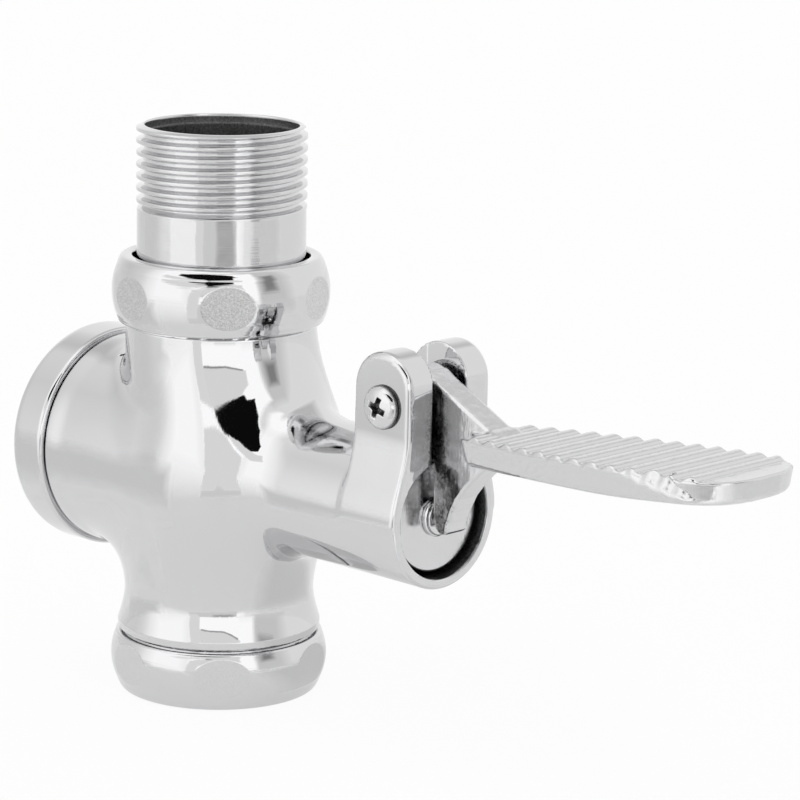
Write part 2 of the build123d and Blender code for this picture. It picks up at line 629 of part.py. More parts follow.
def make_cup_retainer():
    """Plate that clamps the cup."""
    plate = ring_lengthwise(TURRET_R + FIT, RETAINER_R, -RETAINER_BACK, -RETAINER_X)
    return plate - piston_screw_set(SCREW_R + FIT, SCREW_R, 0)


def make_relief_pin():
    """Pilot pin: tip towards the rod, head behind its seal ring."""
    pin = lengthwise(PIN_R, -PIN_HEAD_X, -ROD_TIP_X - PIN_GAP)
    pin = chamfer(pin.edges().group_by(Axis.X)[-1], EDGE)
    return pin + lengthwise(PIN_HEAD_R, -PIN_HEAD_X - PIN_HEAD_T, -PIN_HEAD_X)


def make_relief_plug():
    """Slotted plug with a vent hole, which holds the pin's spring in the turret."""
    plug = ring_lengthwise(PLUG_HOLE_R, PIN_HEAD_R + GAP - RUN, -TURRET_END, -TURRET_END + PLUG_T)
    slot = Pos(-TURRET_END, 0, BARREL_Z) * Box(PLUG_T, PLUG_HOLE_R, 2 * TURRET_R)
    return plug - slot


def arm_outline():
    """Side view of the boss, arm and toe, measured from the pivot."""
    toe_x = PIVOT_BACK + TOE_CLEAR
    under = TREAD_TOP - TREAD_T - WEB_DROP
    toe_front = (toe_x + TOE_W, TOE_SOFT - TOE_DROP)
    toe_rear = (toe_x, TOE_ROUND - TOE_DROP)
    front = Polyline(ARM_TOP_REAR, ARM_TOP_FRONT, ARM_NOSE, (ARM_UNDER_FRONT, under),
                     (ARM_UNDER_REAR, under), ARM_KNEE, ARM_SHIN, toe_front)
    toe = ThreePointArc(toe_front, (toe_x + TOE_W / 2, -TOE_DROP), toe_rear)
    rear = Polyline(toe_rear, (toe_x, TOE_TOP), ARM_BACK, ARM_TOP_REAR)
    return front + toe + rear


def tread_outline():
    """Plan of the tread plate, measured from the pivot."""
    rear = (TREAD_START, TREAD_HALF_START)
    bend = (TREAD_BEND, TREAD_HALF)
    tip = (TREAD_END, TREAD_TIP_HALF)
    side = ThreePointArc(rear, (TREAD_MID, TREAD_HALF_MID), bend)
    corner = ThreePointArc(bend, (TREAD_END - TREAD_CUT[0], TREAD_HALF - TREAD_CUT[1]), tip)
    half = side + corner + Line(tip, (TREAD_END, 0))
    other = mirror(half, Plane.XZ)
    return half + other + Line(rear, (TREAD_START, -TREAD_HALF_START))


def make_pedal():
    """Boss, arm, toe and ribbed tread plate, cast in one."""
    arm = extrude(Plane.XZ.offset(-ARM_T / 2) * make_face(arm_outline()), amount=ARM_T)
    arm += Rot(90, 0, 0) * Cylinder(BOSS_R, ARM_T)
    tilt = math.degrees(math.atan(TREAD_RISE))
    plan = make_face(tread_outline())
    plate = extrude(plan, amount=-TREAD_T, taper=TREAD_DRAFT)
    ribs = None
    drop = RIB_R - RIB_H
    for index in range(RIBS):
        bar = Rot(90, 0, 0) * Cylinder(RIB_R, 2 * TREAD_HALF)
        bar = Pos(RIB_START + index * RIB_PITCH, 0, -drop) * bar
        ribs = bar if ribs is None else ribs + bar
    ribs = ribs & extrude(plan, amount=RIB_R)
    plate += ribs
    lean = Pos(TREAD_REF, 0, TREAD_TOP) * (Rot(0, -tilt, 0) * Pos(-TREAD_REF, 0, 0))
    pedal = arm + lean * plate
    across = Rot(90, 0, 0) * Cylinder(SCREW_SHANK_R + RUN, 2 * ARM_T)
    return Pos(PIVOT_X, 0, PIVOT_Z) * (pedal - across)


def make_pivot_screw():
    """Pan-head screw with a cross recess; its end is flush with the far ear."""
    length = 2 * EAR_OUT + FIT
    shank = Rot(90, 0, 0) * Cylinder(SCREW_SHANK_R, length)
    head = Pos(0, -EAR_OUT - FIT / 2 - PAN_H / 2, 0) * (Rot(90, 0, 0) * Cylinder(PAN_R, PAN_H))
    screw = shank + fillet(head.edges().group_by(Axis.Y)[0], PAN_ROUND)
    for angle in (CROSS_TURN, CROSS_TURN + 90):
        bar = Box(CROSS_L, 2 * CROSS_DEPTH, CROSS_W)
        screw -= Pos(0, -EAR_OUT - PAN_H, 0) * Rot(0, angle, 0) * bar
    return Pos(PIVOT_X, 0, PIVOT_Z) * screw


def main():
    """Make and write every sub-part."""
    os.makedirs("parts", exist_ok=True)
    show("valve_body", make_valve_body())
    show("inlet_nipple", make_inlet_nipple())
    show("inlet_union_nut", make_inlet_union_nut())
    show("inlet_gasket", ring_upright(NIPPLE_BORE_R, NIPPLE_FLANGE_R, BODY_TOP, NIPPLE_FLANGE_Z))
    show("outlet_nut", make_outlet_nut())
    show("outlet_slip_ring", ring_upright(PIPE_R, SEAL_R, OUTLET_WEB_T, OUTLET_WEB_T + SLIP_RING_T))
    show("outlet_cone_seal", make_outlet_cone_seal())
    show("rear_cap", make_rear_cap())
    show("rear_cap_gasket", ring_lengthwise(CHAMBER_R, CAP_SPIGOT_R - FIT, -CAP_INSIDE, -CHAMBER_END))
    show("seat_ring", make_seat_ring())
    show("guide_bush", make_guide_bush())
    inner_x, outer_x = ring_places()
    show("rod_seal_ring", seal_ring(ROD_R + RUN + RING_R, inner_x))
    show("bush_seal_ring", seal_ring(BUSH_R + RUN - RING_R, outer_x))
    show("plunger_cap", make_plunger_cap())
    show("plunger_button", make_plunger_button())
    show("push_rod", make_push_rod())
    show("rod_stop_clip", make_rod_stop_clip())
    show("return_spring", spring_between("return_spring", RETURN_SPRING, BUSH_FRONT, PLUNGER_X - PLUNGER_FACE_T))
    show("piston", make_piston())
    show("seat_washer", make_seat_washer())
    show("piston_cup", make_piston_cup())
    show("cup_retainer", make_cup_retainer())
    show("piston_screws", piston_screw_set(SCREW_R, SCREW_HEAD_R, SCREW_HEAD_T))
    show("piston_spring", spring_between("piston_spring", PISTON_SPRING, -CAP_INSIDE, -RETAINER_BACK))
    show("relief_pin", make_relief_pin())
    show("relief_seal", ring_lengthwise(PIN_R + RUN, PIN_HEAD_R, -PIN_HEAD_X, -PIN_SEAT_X))
    plug_front = -TURRET_END + PLUG_T
    pin_back = -PIN_HEAD_X - PIN_HEAD_T
    show("relief_spring", spring_between("relief_spring", RELIEF_SPRING, plug_front, pin_back))
    show("relief_plug", make_relief_plug())
    show("pedal", make_pedal())
    show("pivot_screw", make_pivot_screw())


main()
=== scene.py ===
# %% [markdown]
# # Foot pedal flush valve
#
# A chromed brass valve for a toilet: water comes in through the threaded nipple on top, waits behind a
# piston in the round chamber at the rear, and leaves through the nut at the foot when the pedal is
# pressed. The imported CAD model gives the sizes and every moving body. A mirror finish shows each
# facet of a CAD mesh, so the pieces that the eye sees are made again here as smooth surfaces of the
# same size, with the softer joins of a polished casting. The hidden pieces keep their CAD meshes and
# get their real finishes.

# %% Load the frame
import json

import bmesh
import bpy
import numpy as np
from mathutils import Matrix


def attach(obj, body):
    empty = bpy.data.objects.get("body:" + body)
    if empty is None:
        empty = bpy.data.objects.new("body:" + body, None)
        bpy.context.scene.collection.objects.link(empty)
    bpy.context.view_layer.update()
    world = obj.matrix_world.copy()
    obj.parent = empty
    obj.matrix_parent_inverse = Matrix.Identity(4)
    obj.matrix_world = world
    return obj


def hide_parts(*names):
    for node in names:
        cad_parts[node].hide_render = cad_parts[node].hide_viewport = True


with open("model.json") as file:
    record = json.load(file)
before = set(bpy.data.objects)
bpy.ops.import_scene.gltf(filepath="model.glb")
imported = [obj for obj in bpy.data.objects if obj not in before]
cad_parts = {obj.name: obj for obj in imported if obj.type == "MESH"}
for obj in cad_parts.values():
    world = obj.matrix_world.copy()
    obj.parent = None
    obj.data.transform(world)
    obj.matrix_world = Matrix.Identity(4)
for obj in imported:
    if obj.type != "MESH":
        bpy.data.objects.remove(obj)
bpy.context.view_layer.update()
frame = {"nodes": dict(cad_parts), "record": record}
SCENE = bpy.context.scene

# %% [markdown]
# ## From numbers to a mesh
#
# Blender works in metres and the drawings of a valve are in millimetres, so one function does the
# step between them. It takes corner points and quads as whole arrays. Doubles at seams and poles are
# merged, so that a turned piece is closed. Normals that are known exactly, from a formula, are given
# to the mesh, because a mirror bends with every error in them.

# %% Put points and quads into a mesh
MM = 0.001
SAME_PLACE = 1e-6      # points nearer to each other than this, in metres, are one point


def into_scene(name, data):
    """A new object that holds this data, at the origin."""
    made = bpy.data.objects.new(name, data)
    SCENE.collection.objects.link(made)
    return made


def set_masks(mesh, masks):
    """One number per point under each mask's name, for materials to read."""
    for mask, values in masks.items():
        layer = mesh.attributes.new(mask, "FLOAT", "POINT")
        layer.data.foreach_set("value", np.ravel(values).astype(np.float32))


def piece(name, body, points, quads, replaced=(), normals=None, masks=None):
    """A smooth mesh object from points in mm, riding on a CAD body in place of the CAD nodes."""
    mesh = bpy.data.meshes.new(name)
    mesh.from_pydata((points * MM).tolist(), [], quads.tolist())
    set_masks(mesh, masks or {})
    if normals is None:
        grid = bmesh.new()
        grid.from_mesh(mesh)
        bmesh.ops.remove_doubles(grid, verts=grid.verts, dist=SAME_PLACE)
        bmesh.ops.recalc_face_normals(grid, faces=grid.faces)
        grid.to_mesh(mesh)
        grid.free()
    mesh.shade_smooth()
    if normals is not None:
        mesh.normals_split_custom_set_from_vertices(normals.tolist())
    made = into_scene(name, mesh)
    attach(made, body)
    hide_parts(*replaced)
    size = np.ptp(points, axis=0)
    print(f"{name}: {len(mesh.vertices)} points, {size[0]:.1f} x {size[1]:.1f} x {size[2]:.1f} mm")
    return made


# %% [markdown]
# ## Turned pieces
#
# Nuts, caps and buttons come from a lathe, so each is a profile of radius and height carried round an
# axis. A sharp corner never shines, but a real one is broken by a few tenths of a millimetre and
# catches a thin line of light. So each profile corner becomes a small bend, with one more point just
# before and after it that keeps the flat beside it flat.

# %% Profiles with broken corners
def arc(start, through, end, count=16):
    """Points on the circle through three points: its centre is where the two chords' bisectors meet."""
    a, b, c = (np.array(point, float) for point in (start, through, end))
    sides = 2 * np.array([b - a, c - a])
    centre = np.linalg.solve(sides, [b @ b - a @ a, c @ c - a @ a])
    turn = np.unwrap([np.arctan2(*(point - centre)[::-1]) for point in (a, b, c)])
    angle = np.linspace(turn[0], turn[2], count)
    radius = np.hypot(*(a - centre))
    return centre + radius * np.stack([np.cos(angle), np.sin(angle)], 1)


def broken(profile, radii, count=5):
    """A closed profile with each corner replaced by a bend of about its radius.

    The bend is a parabola that touches both sides at radius / tan(half the corner's angle) from the
    corner, or at 0.45 of the shorter side. The points that keep the flats flat lie 1.25 times as far.
    """
    corner = np.array(profile, float)
    before = np.roll(corner, 1, axis=0) - corner
    after = np.roll(corner, -1, axis=0) - corner
    long_before = np.linalg.norm(before, axis=1, keepdims=True)
    long_after = np.linalg.norm(after, axis=1, keepdims=True)
    before, after = before / long_before, after / long_after
    radius = np.broadcast_to(np.array(radii, float), len(corner))[:, None]
    half = np.arccos(np.clip((before * after).sum(1, keepdims=True), -1, 1)) / 2
    farthest = 0.45 * np.minimum(long_before, long_after)
    reach = np.minimum(radius / np.tan(np.maximum(half, 0.05)), farthest)
    share = np.linspace(0, 1, count)[None, :, None]
    one, two = (corner + before * reach)[:, None], (corner + after * reach)[:, None]
    bend = (1 - share) ** 2 * one + 2 * share * (1 - share) * corner[:, None] + share ** 2 * two
    lead = (corner + before * reach * 1.25)[:, None]
    tail = (corner + after * reach * 1.25)[:, None]
    return np.concatenate([lead, bend, tail], axis=1).reshape(-1, 2)


# %% Carry a profile round an axis
def ring_quads(rows, columns):
    """Quads of a grid that closes on itself both ways."""
    index = np.arange(rows * columns).reshape(rows, columns)
    right, down = np.roll(index, -1, axis=1), np.roll(index, -1, axis=0)
    both = np.roll(down, -1, axis=1)
    return np.stack([index, right, both, down], axis=-1).reshape(-1, 4)


def turned(profile, steps=192, along="z", centre=0.0):
    """A closed profile of (radius, height) turned about the flow axis, or about the barrel's axis.

    Point (angle, i) is (r cos angle, r sin angle, h), or (h, r cos angle, centre + r sin angle).
    """
    angle = np.linspace(0, 2 * np.pi, steps, endpoint=False)[:, None]
    radius, height = profile[None, :, 0], profile[None, :, 1]
    flat = np.ones_like(angle)
    across, up, run = radius * np.cos(angle), radius * np.sin(angle), height * flat
    order = (across, up, run) if along == "z" else (run, across, centre + up)
    return np.stack(order, axis=-1).reshape(-1, 3), ring_quads(steps, len(profile))


# %% [markdown]
# ## Cast pieces
#
# The body, the pedal and the screw's head aren't turned: their parts flow into one another, as
# casting and grinding leave them. A height above a plane can't describe that, but a distance can. Each
# function below gives, for any point in space, its distance outside the metal, negative inside. Two
# shapes join where the smaller distance is taken, and a smooth minimum rounds the join like a fillet.

# %% Smooth joins and cuts
BARREL_Z = 45.4      # height of the barrel's axis


def join(one, two, blend):
    """Smooth minimum: within blend of each other, the two distances are mixed and lowered."""
    share = np.clip(0.5 + 0.5 * (two - one) / blend, 0, 1)
    return two + (one - two) * share - blend * share * (1 - share)


def cut(one, two, blend):
    """Smooth maximum, for the part of one that is inside two as well."""
    return -join(-one, -two, blend)


def ease(share):
    """0 to 1 with level ends: 3 t^2 - 2 t^3."""
    share = np.clip(share, 0, 1)
    return share * share * (3 - 2 * share)


# %% [markdown]
# A surface is drawn through such a field by surface nets: space is divided in boxes, each box that the
# surface crosses gets one point, at the mean of the crossings on its twelve edges, and each grid edge
# that is crossed gets a quad between the four boxes around it. Then every point is pulled along the
# field's slope, six times, which leaves it very near the surface, and the slope there is its normal.
# The boxes are small where edges are, and larger where the form is plain.

# %% Draw a surface through a field
FLATTEST = 0.05          # least squared slope that a pull divides by
LONGEST_PULL = 0.25      # mm


def slope(field, points, reach=0.02):
    """Gradient of a field at points, by differences over a short reach both ways."""
    parts = []
    for axis in range(3):
        shift = np.zeros(3)
        shift[axis] = reach
        ahead, behind = points + shift, points - shift
        parts.append((field(*ahead.T) - field(*behind.T)) / (2 * reach))
    return np.stack(parts, axis=-1)


def skin(field, xs, ys, zs, pulls=6):
    """Points, quads and normals of the zero surface of a field, on a grid with uneven steps."""
    lines = (xs, ys, zs)
    value = field(*np.meshgrid(xs, ys, zs, indexing="ij"))
    boxes = tuple(n - 1 for n in value.shape)
    total, weight = np.zeros((*boxes, 3)), np.zeros(boxes)
    quads_of = []
    for axis in range(3):
        near = [slice(None)] * 3
        far = [slice(None)] * 3
        near[axis], far[axis] = slice(0, -1), slice(1, None)
        low, high = value[tuple(near)], value[tuple(far)]
        crossed = (low < 0) != (high < 0)
        share = np.where(crossed, low / np.where(crossed, low - high, 1), 0)
        spans = [lines[k] if k != axis else lines[k][:-1] for k in range(3)]
        mesh_of = np.meshgrid(*spans, indexing="ij")
        steps = np.diff(lines[axis]).reshape([-1 if k == axis else 1 for k in range(3)])
        place = [mesh_of[k] + (share * steps if k == axis else 0) for k in range(3)]
        others = [k for k in range(3) if k != axis]
        for one in (0, 1):
            for two in (0, 1):
                window = [slice(None)] * 3
                window[others[0]] = slice(one, value.shape[others[0]] - 1 + one)
                window[others[1]] = slice(two, value.shape[others[1]] - 1 + two)
                mask = crossed[tuple(window)]
                weight += mask
                for k in range(3):
                    total[..., k] += np.where(mask, place[k][tuple(window)], 0)
        quads_of.append((axis, others, crossed, low < 0))
    active = weight > 0
    number = np.full(boxes, -1)
    number[active] = np.arange(active.sum())
    points = total[active] / weight[active][:, None]
    quads = []
    for axis, others, crossed, inside in quads_of:
        inner = [slice(None)] * 3
        for k in others:
            inner[k] = slice(1, -1)
        where = np.argwhere(crossed[tuple(inner)])
        flip = inside[tuple(inner)][tuple(where.T)]
        offset = np.zeros((4, 3), int)
        offset[[1, 2], others[0]] = 1
        offset[[2, 3], others[1]] = 1
        corners = where[:, None, :] + offset[None]
        found = number[corners[..., 0], corners[..., 1], corners[..., 2]]
        if axis == 1:
            flip = ~flip
        quads.append(np.where(flip[:, None], found, found[:, ::-1]))
    for _ in range(pulls):
        way = slope(field, points)
        size = np.maximum((way * way).sum(1, keepdims=True), FLATTEST)
        move = field(*points.T)[:, None] * way / size
        points = points - np.clip(move, -LONGEST_PULL, LONGEST_PULL)
    way = slope(field, points)
    normals = way / np.maximum(np.linalg.norm(way, axis=1, keepdims=True), 1e-9)
    return points, np.concatenate(quads), normals


def stops(*spans):
    """Grid lines from spans of (start, end, step), each step stretched a little to fit its span."""
    lines = []
    for low, high, step in spans:
        count = max(2, round((high - low) / step) + 1)
        lines.append(np.linspace(low, high, count)[:-1])
    return np.concatenate([*lines, [spans[-1][1]]])


# %% [markdown]
# ## The body
#
# The casting is an upright tube crossed by the rear chamber, which narrows to the barrel in front.
# Where they cross, the real one was ground and polished by hand, so the fillets are wide in front,
# widest above, and tight beside the rear collar. Two ears stand on the barrel and carry the pedal's
# screw.

# %% Sizes of the body, in mm
NECK_R, LIP_R, LIP_Z, UNION_SEAM_Z = 18.6, 20.0, 12.1, 73.3
LIP_H, FLARE_H, FLARE_POWER = 1.6, 7, 1.7
SPIGOT_R, FOOT_Z, HEAD_Z = 18.4, 6.4, 80.6
CHAMBER_R, COLLAR_R, COLLAR_REAR, COLLAR_FRONT, CHAMBER_END = 21.1, 21.4, -28.3, -25.9, -32.9
CAP_SPIGOT_R, SHOULDER_START, SHOULDER_END = 20.0, 3.0, 25.0
BARREL_R, BARREL_X, BARREL_BORE_R = 13.6, 61.2, 11.65
EAR_IN, EAR_OUT, EAR_R, EAR_TOP = 4.3, 10.75, 7.2, 77.2
EAR_BACK, EAR_FRONT, EAR_FLOW = 47.6, 62.0, 17.0
PIVOT_X, PIVOT_Z, SCREW_R = 55.1, 67.0, 2.65
# Widths of the fillets between tube and barrel: rear and front, under and above the barrel's axis,
# and where the two meet at a shallow angle. The first four are mixed within HALF_WAY of the axes.
REAR_LOW, REAR_HIGH, FRONT_LOW, FRONT_HIGH = 9, 4, 12, 15
SHALLOW_REAR, SHALLOW_FRONT, HALF_WAY = 3.5, 16.5, 8
# Bores: inlet, outlet, pipe socket, cone for the seal, chamber, seat, rod, gland, barrel mouth, and
# the slot between the ears
INLET_R, INLET_END, OUTLET_R, SOCKET_R, SOCKET_END = 14.0, 62.9, 12.5, 16.1, 22.0
CONE_R, CONE_SLOPE, CONE_END, CHAMBER_BORE_R, CHAMBER_FLOOR = 18.0, 1.1, 8.2, 17.4, -15.5
SEAT_R, SEAT_MIDDLE, SEAT_HALF, ROD_R, ROD_MIDDLE, ROD_HALF = 8.5, -9, 9, 3.4, 15, 15
GLAND_R, GLAND_START, MOUTH_START, SLOT_FLOOR, SLOT_BACK = 9.0, 24.0, 34.0, 54.0, 52.0
# The slanting port from inlet to chamber: its middle, its tilt and half its length, height and width
PORT_X, PORT_Z, PORT_TILT = -12.6, 65.1, np.radians(38)
PORT_LONG, PORT_HIGH, PORT_WIDE = 11, 3.5, 9


# %% Its outside
def tube(x, y, z):
    """Upright tube: radius 18.6, flaring to the lip, with a narrower spigot at each end."""
    down = np.clip(1 - (z - LIP_Z - LIP_H) / FLARE_H, 0, 1)
    flare = (LIP_R - NECK_R) * down ** FLARE_POWER
    away = np.hypot(x, y)
    wall = cut(cut(away - NECK_R - flare, z - UNION_SEAM_Z, 0.5), LIP_Z - z, 0.5)
    spigot = cut(cut(away - SPIGOT_R, z - HEAD_Z, 0.3), FOOT_Z - z, 0.3)
    return np.minimum(wall, spigot)


def chamber_and_barrel(x, y, z):
    """Turned about the barrel's axis: 21.1 at the rear, easing to 13.6, with a collar for the cap.

    The collar swells out over 5 mm, and a narrower spigot behind it goes into the cap.
    """
    away = np.hypot(y, z - BARREL_Z)
    fall = ease((x - SHOULDER_START) / (SHOULDER_END - SHOULDER_START))
    radius = CHAMBER_R + (BARREL_R - CHAMBER_R) * fall
    swell = (COLLAR_R - CHAMBER_R) * ease((COLLAR_FRONT + 3 - x) / 5)
    wall = cut(away - radius - swell, COLLAR_REAR - x, 0.9)
    spigot = cut(cut(away - CAP_SPIGOT_R, x - COLLAR_FRONT, 0.3), CHAMBER_END - x, 0.3)
    return np.minimum(wall, spigot)


def ears(x, y, z):
    """Two plates with round tops, whose outer faces ease outwards until they touch the round barrel.

    Their rear edge leans back by 0.6 mm to the foot. The factor 0.97 makes up for the faces' lean, so
    that the number is about the true distance.
    """
    side = np.abs(y)
    lean = EAR_OUT + (BARREL_R - EAR_OUT) * (1 - ease((z - BARREL_Z) / EAR_FLOW))
    middle_z = EAR_TOP - EAR_R
    back = EAR_BACK - 0.6 * np.clip((middle_z - z) / 25, 0, 1)
    centre = EAR_FRONT - EAR_R
    round_top = np.hypot(x - centre, z - middle_z) - EAR_R
    plate = np.where(z > middle_z, round_top, np.maximum(back - x, x - EAR_FRONT))
    return cut(cut(cut((side - lean) * 0.97, plate, 1.2), BARREL_Z - z, 0.5), EAR_IN - side, 0.15)


# %% Its bores and the whole casting
def drilled(x, y, z):
    """Everything that is bored out: the same passages as in the CAD model."""
    away, lengthwise = np.hypot(x, y), np.hypot(y, z - BARREL_Z)
    round_end = np.sqrt(away ** 2 + (z - BARREL_Z) ** 2) - OUTLET_R
    along = (x - PORT_X) * np.cos(PORT_TILT) + (z - PORT_Z) * np.sin(PORT_TILT)
    above = -(x - PORT_X) * np.sin(PORT_TILT) + (z - PORT_Z) * np.cos(PORT_TILT)
    port = np.maximum(np.abs(along) - PORT_LONG, np.abs(above) - PORT_HIGH)
    slot = np.maximum(np.abs(y) - EAR_IN, SLOT_FLOOR - z)
    return np.minimum.reduce([
        np.maximum(away - INLET_R, INLET_END - z),
        np.minimum(np.maximum(away - OUTLET_R, z - BARREL_Z), round_end),
        np.maximum(away - SOCKET_R, z - SOCKET_END),
        np.maximum(away - CONE_R + (z - FOOT_Z) * CONE_SLOPE, z - CONE_END),
        np.maximum(lengthwise - CHAMBER_BORE_R, x - CHAMBER_FLOOR),
        np.maximum(lengthwise - SEAT_R, np.abs(x - SEAT_MIDDLE) - SEAT_HALF),
        np.maximum(port, np.abs(y) - PORT_WIDE),
        np.maximum(lengthwise - ROD_R, np.abs(x - ROD_MIDDLE) - ROD_HALF),
        np.maximum(lengthwise - GLAND_R, GLAND_START - x),
        np.maximum(lengthwise - BARREL_BORE_R, MOUTH_START - x),
        np.maximum(slot, SLOT_BACK - x),
        np.hypot(x - PIVOT_X, z - PIVOT_Z) - SCREW_R])


def outside(x, y, z):
    """Tube, barrel and ears joined, with a fillet that changes along the joint.

    alike is the cosine between the directions in which tube and barrel face at a point. From 0.3 to
    0.95 the fillet eases from the plain one to the one for shallow angles.
    """
    front = ease((x + HALF_WAY) / (2 * HALF_WAY))
    high = ease((z - BARREL_Z + HALF_WAY) / (2 * HALF_WAY))
    at_rear = REAR_LOW + (REAR_HIGH - REAR_LOW) * high
    at_front = FRONT_LOW + (FRONT_HIGH - FRONT_LOW) * high
    blend = at_rear * (1 - front) + at_front * front
    alike = y * y / np.maximum(np.hypot(x, y) * np.hypot(y, z - BARREL_Z), 1)
    shallow = SHALLOW_REAR + (SHALLOW_FRONT - SHALLOW_REAR) * ease((x + 2) / 20)
    blend = blend + (shallow - blend) * ease((alike - 0.3) / 0.65)
    whole = join(tube(x, y, z), chamber_and_barrel(x, y, z), blend)
    front_face = BARREL_X + (EAR_FRONT - BARREL_X) * ease((z - 50) / 12)
    return cut(join(whole, ears(x, y, z), 1.2), x - front_face, 0.9)


def casting(x, y, z):
    """The outside less the bores."""
    return cut(outside(x, y, z), -drilled(x, y, z), 0.3)


# %% Draw the body
body_points, body_quads, body_normals = skin(
    casting,
    stops((-33.4, -29.4, 1.2), (-29.4, -27.0, 0.24), (-27.0, -21.0, 0.7), (-21.0, 44.0, 1.2),
          (44.0, 62.7, 0.4)),
    stops((-22.8, -14.5, 1.0), (-14.5, 14.5, 0.455), (14.5, 22.8, 1.0)),
    stops((5.7, 11.4, 1.1), (11.4, 14.2, 0.28), (14.2, 31.0, 1.2), (31.0, 72.7, 0.52),
          (72.7, 74.5, 0.25), (74.5, 81.4, 0.8)))
# The mask below is 1 in the bores, from 0.6 mm under the outside, and on the lower part of the ears'
# inner faces, more towards the slot's floor. The dark grey that it brings is painted shade, on rougher
# unplated metal.
bored = np.clip(-outside(*body_points.T) / 0.4 - 0.5, 0, 1)
body_x, body_side, body_z = body_points[:, 0], np.abs(body_points[:, 1]), body_points[:, 2]
in_slot = (body_side < EAR_IN + 0.5) & (body_x > 44) & (body_z > BARREL_Z)
raw_and_shaded = np.maximum(bored, in_slot * ease((70 - body_z) / 9))
body = piece("body", "valve", body_points, body_quads, ["valve_body"], body_normals, {"raw_and_shaded": raw_and_shaded})

# %% [markdown]
# ## Nuts with ground flats
#
# The two big nuts are barrel-shaped and polished. Instead of a hexagon, six small flats are ground
# into the round, and each flat ends in an ellipse where the plane meets the curve. No ellipse needs
# drawing: at each angle the nut's radius is the smaller of the profile's and the plane's distance
# divided by the cosine of the angle between them. A mask remembers where the plane won, for the
# material, because a ground flat is duller than the polished round.

# %% The nuts
NUT_R, NUT_FLAT_R = 21.28, 20.61      # widest radius, and distance of the flats from the axis
NUT_STEPS, MASK_FADE = 480, 0.02


def nut_profile(height, widest, mouth_r, bore_r, web, taper=1.1):
    """Closed half section of a nut, its web up: bend, shoulder and belly outside, a step inside.

    widest is the height of the belly's widest place. At the foot the nut is narrower by taper.
    """
    top, neck = (NUT_R - 2.6, height), (NUT_R - 1.62, height - 0.5)
    belly_top, belly_foot = (NUT_R - 0.98, height - 1.95), (NUT_R - taper, 0.6)
    face = [(mouth_r + 0.15, height), (NUT_R - 2.6 - 0.1, height)]
    bend = arc(top, (NUT_R - 2.0, height - 0.12), neck, 8)
    shoulder = arc(neck, (NUT_R - 1.25, height - 1.2), belly_top, 10)
    belly = arc(belly_top, (NUT_R, widest), belly_foot, 64)
    foot = arc(belly_foot, (NUT_R - taper - 0.2, 0.18), (NUT_R - taper - 0.6, 0), 6)
    inside = [(bore_r + 0.15, 0), (bore_r, 0.15), (bore_r, height - web), (mouth_r, height - web),
              (mouth_r, height - 0.15)]
    return np.concatenate([face, bend[1:], shoulder[1:], belly[1:], foot[1:], inside])


def nut(name, profile, turn, replaced, flip=False, shift=0.0):
    """Turn the profile, and grind flats at 60 degrees from each other, the first at turn.

    off is the angle from the middle of the nearest flat, so the plane is at its distance / cos off.
    """
    angle = np.linspace(0, 2 * np.pi, NUT_STEPS, endpoint=False)[:, None]
    off = (angle - np.radians(turn) + np.pi / 6) % (np.pi / 3) - np.pi / 6
    plane = NUT_FLAT_R / np.cos(off)
    radius = np.broadcast_to(profile[None, :, 0], (NUT_STEPS, len(profile)))
    ground = np.minimum(radius, plane)
    mask = np.clip((radius - plane) / MASK_FADE, 0, 1)
    height = np.broadcast_to(profile[None, :, 1], ground.shape)
    height = shift - height if flip else shift + height
    points = np.stack([ground * np.cos(angle), ground * np.sin(angle), height], axis=-1).reshape(-1, 3)
    quads = ring_quads(NUT_STEPS, len(profile))
    return piece(name, "valve", points, quads, replaced, masks={"flat": mask})


union_nut = nut("union_nut", nut_profile(13.0, 5.6, 17.36, 18.5, 2.3), -39.0, ["inlet_union_nut"],
                shift=73.7)
foot_nut = nut("foot_nut", nut_profile(11.5, 6.2, 16.1, 18.5, 1.8, 0.8), -41.0, ["outlet_nut"],
               flip=True, shift=11.5)

# %% [markdown]
# ## The threaded nipple
#
# A pipe thread is one groove that climbs: along any upright line the profile repeats every pitch, and
# one turn round the axis moves it up by one pitch. So the radius is a function of
# height minus pitch times angle / 2 pi. At its foot the groove fades into the plain metal, and a cone
# leads in at the top.

# %% The nipple
PITCH, CREST_R, ROOT_R, PLAIN_R, BORE_R = 2.309, 16.60, 15.14, 16.45, 14.7
NIPPLE_TOP, THREAD_START, NIPPLE_FOOT = 112.0, 95.4, 82.1


def thread(angle, height):
    """Radius of the thread: a rounded wave between root and crest, which fades in from the plain wall.

    Under 0.12 and over 0.92 of the wave, root and crest are flat. The cone at the top starts 1.05 mm
    under the crest and gets 2.8 mm wider per mm down.
    """
    phase = (height - NIPPLE_TOP) / PITCH - angle / (2 * np.pi)
    wave = 0.5 + 0.5 * np.cos(2 * np.pi * phase)
    groove = CREST_R - (CREST_R - ROOT_R) * (1 - ease((wave - 0.12) * 1.25))
    start = ease((height - THREAD_START) / 1.4)
    lead_in = CREST_R - 1.05 + np.maximum(NIPPLE_TOP - height, 0) * 2.8
    return np.minimum(PLAIN_R * (1 - start) + groove * start, lead_in)


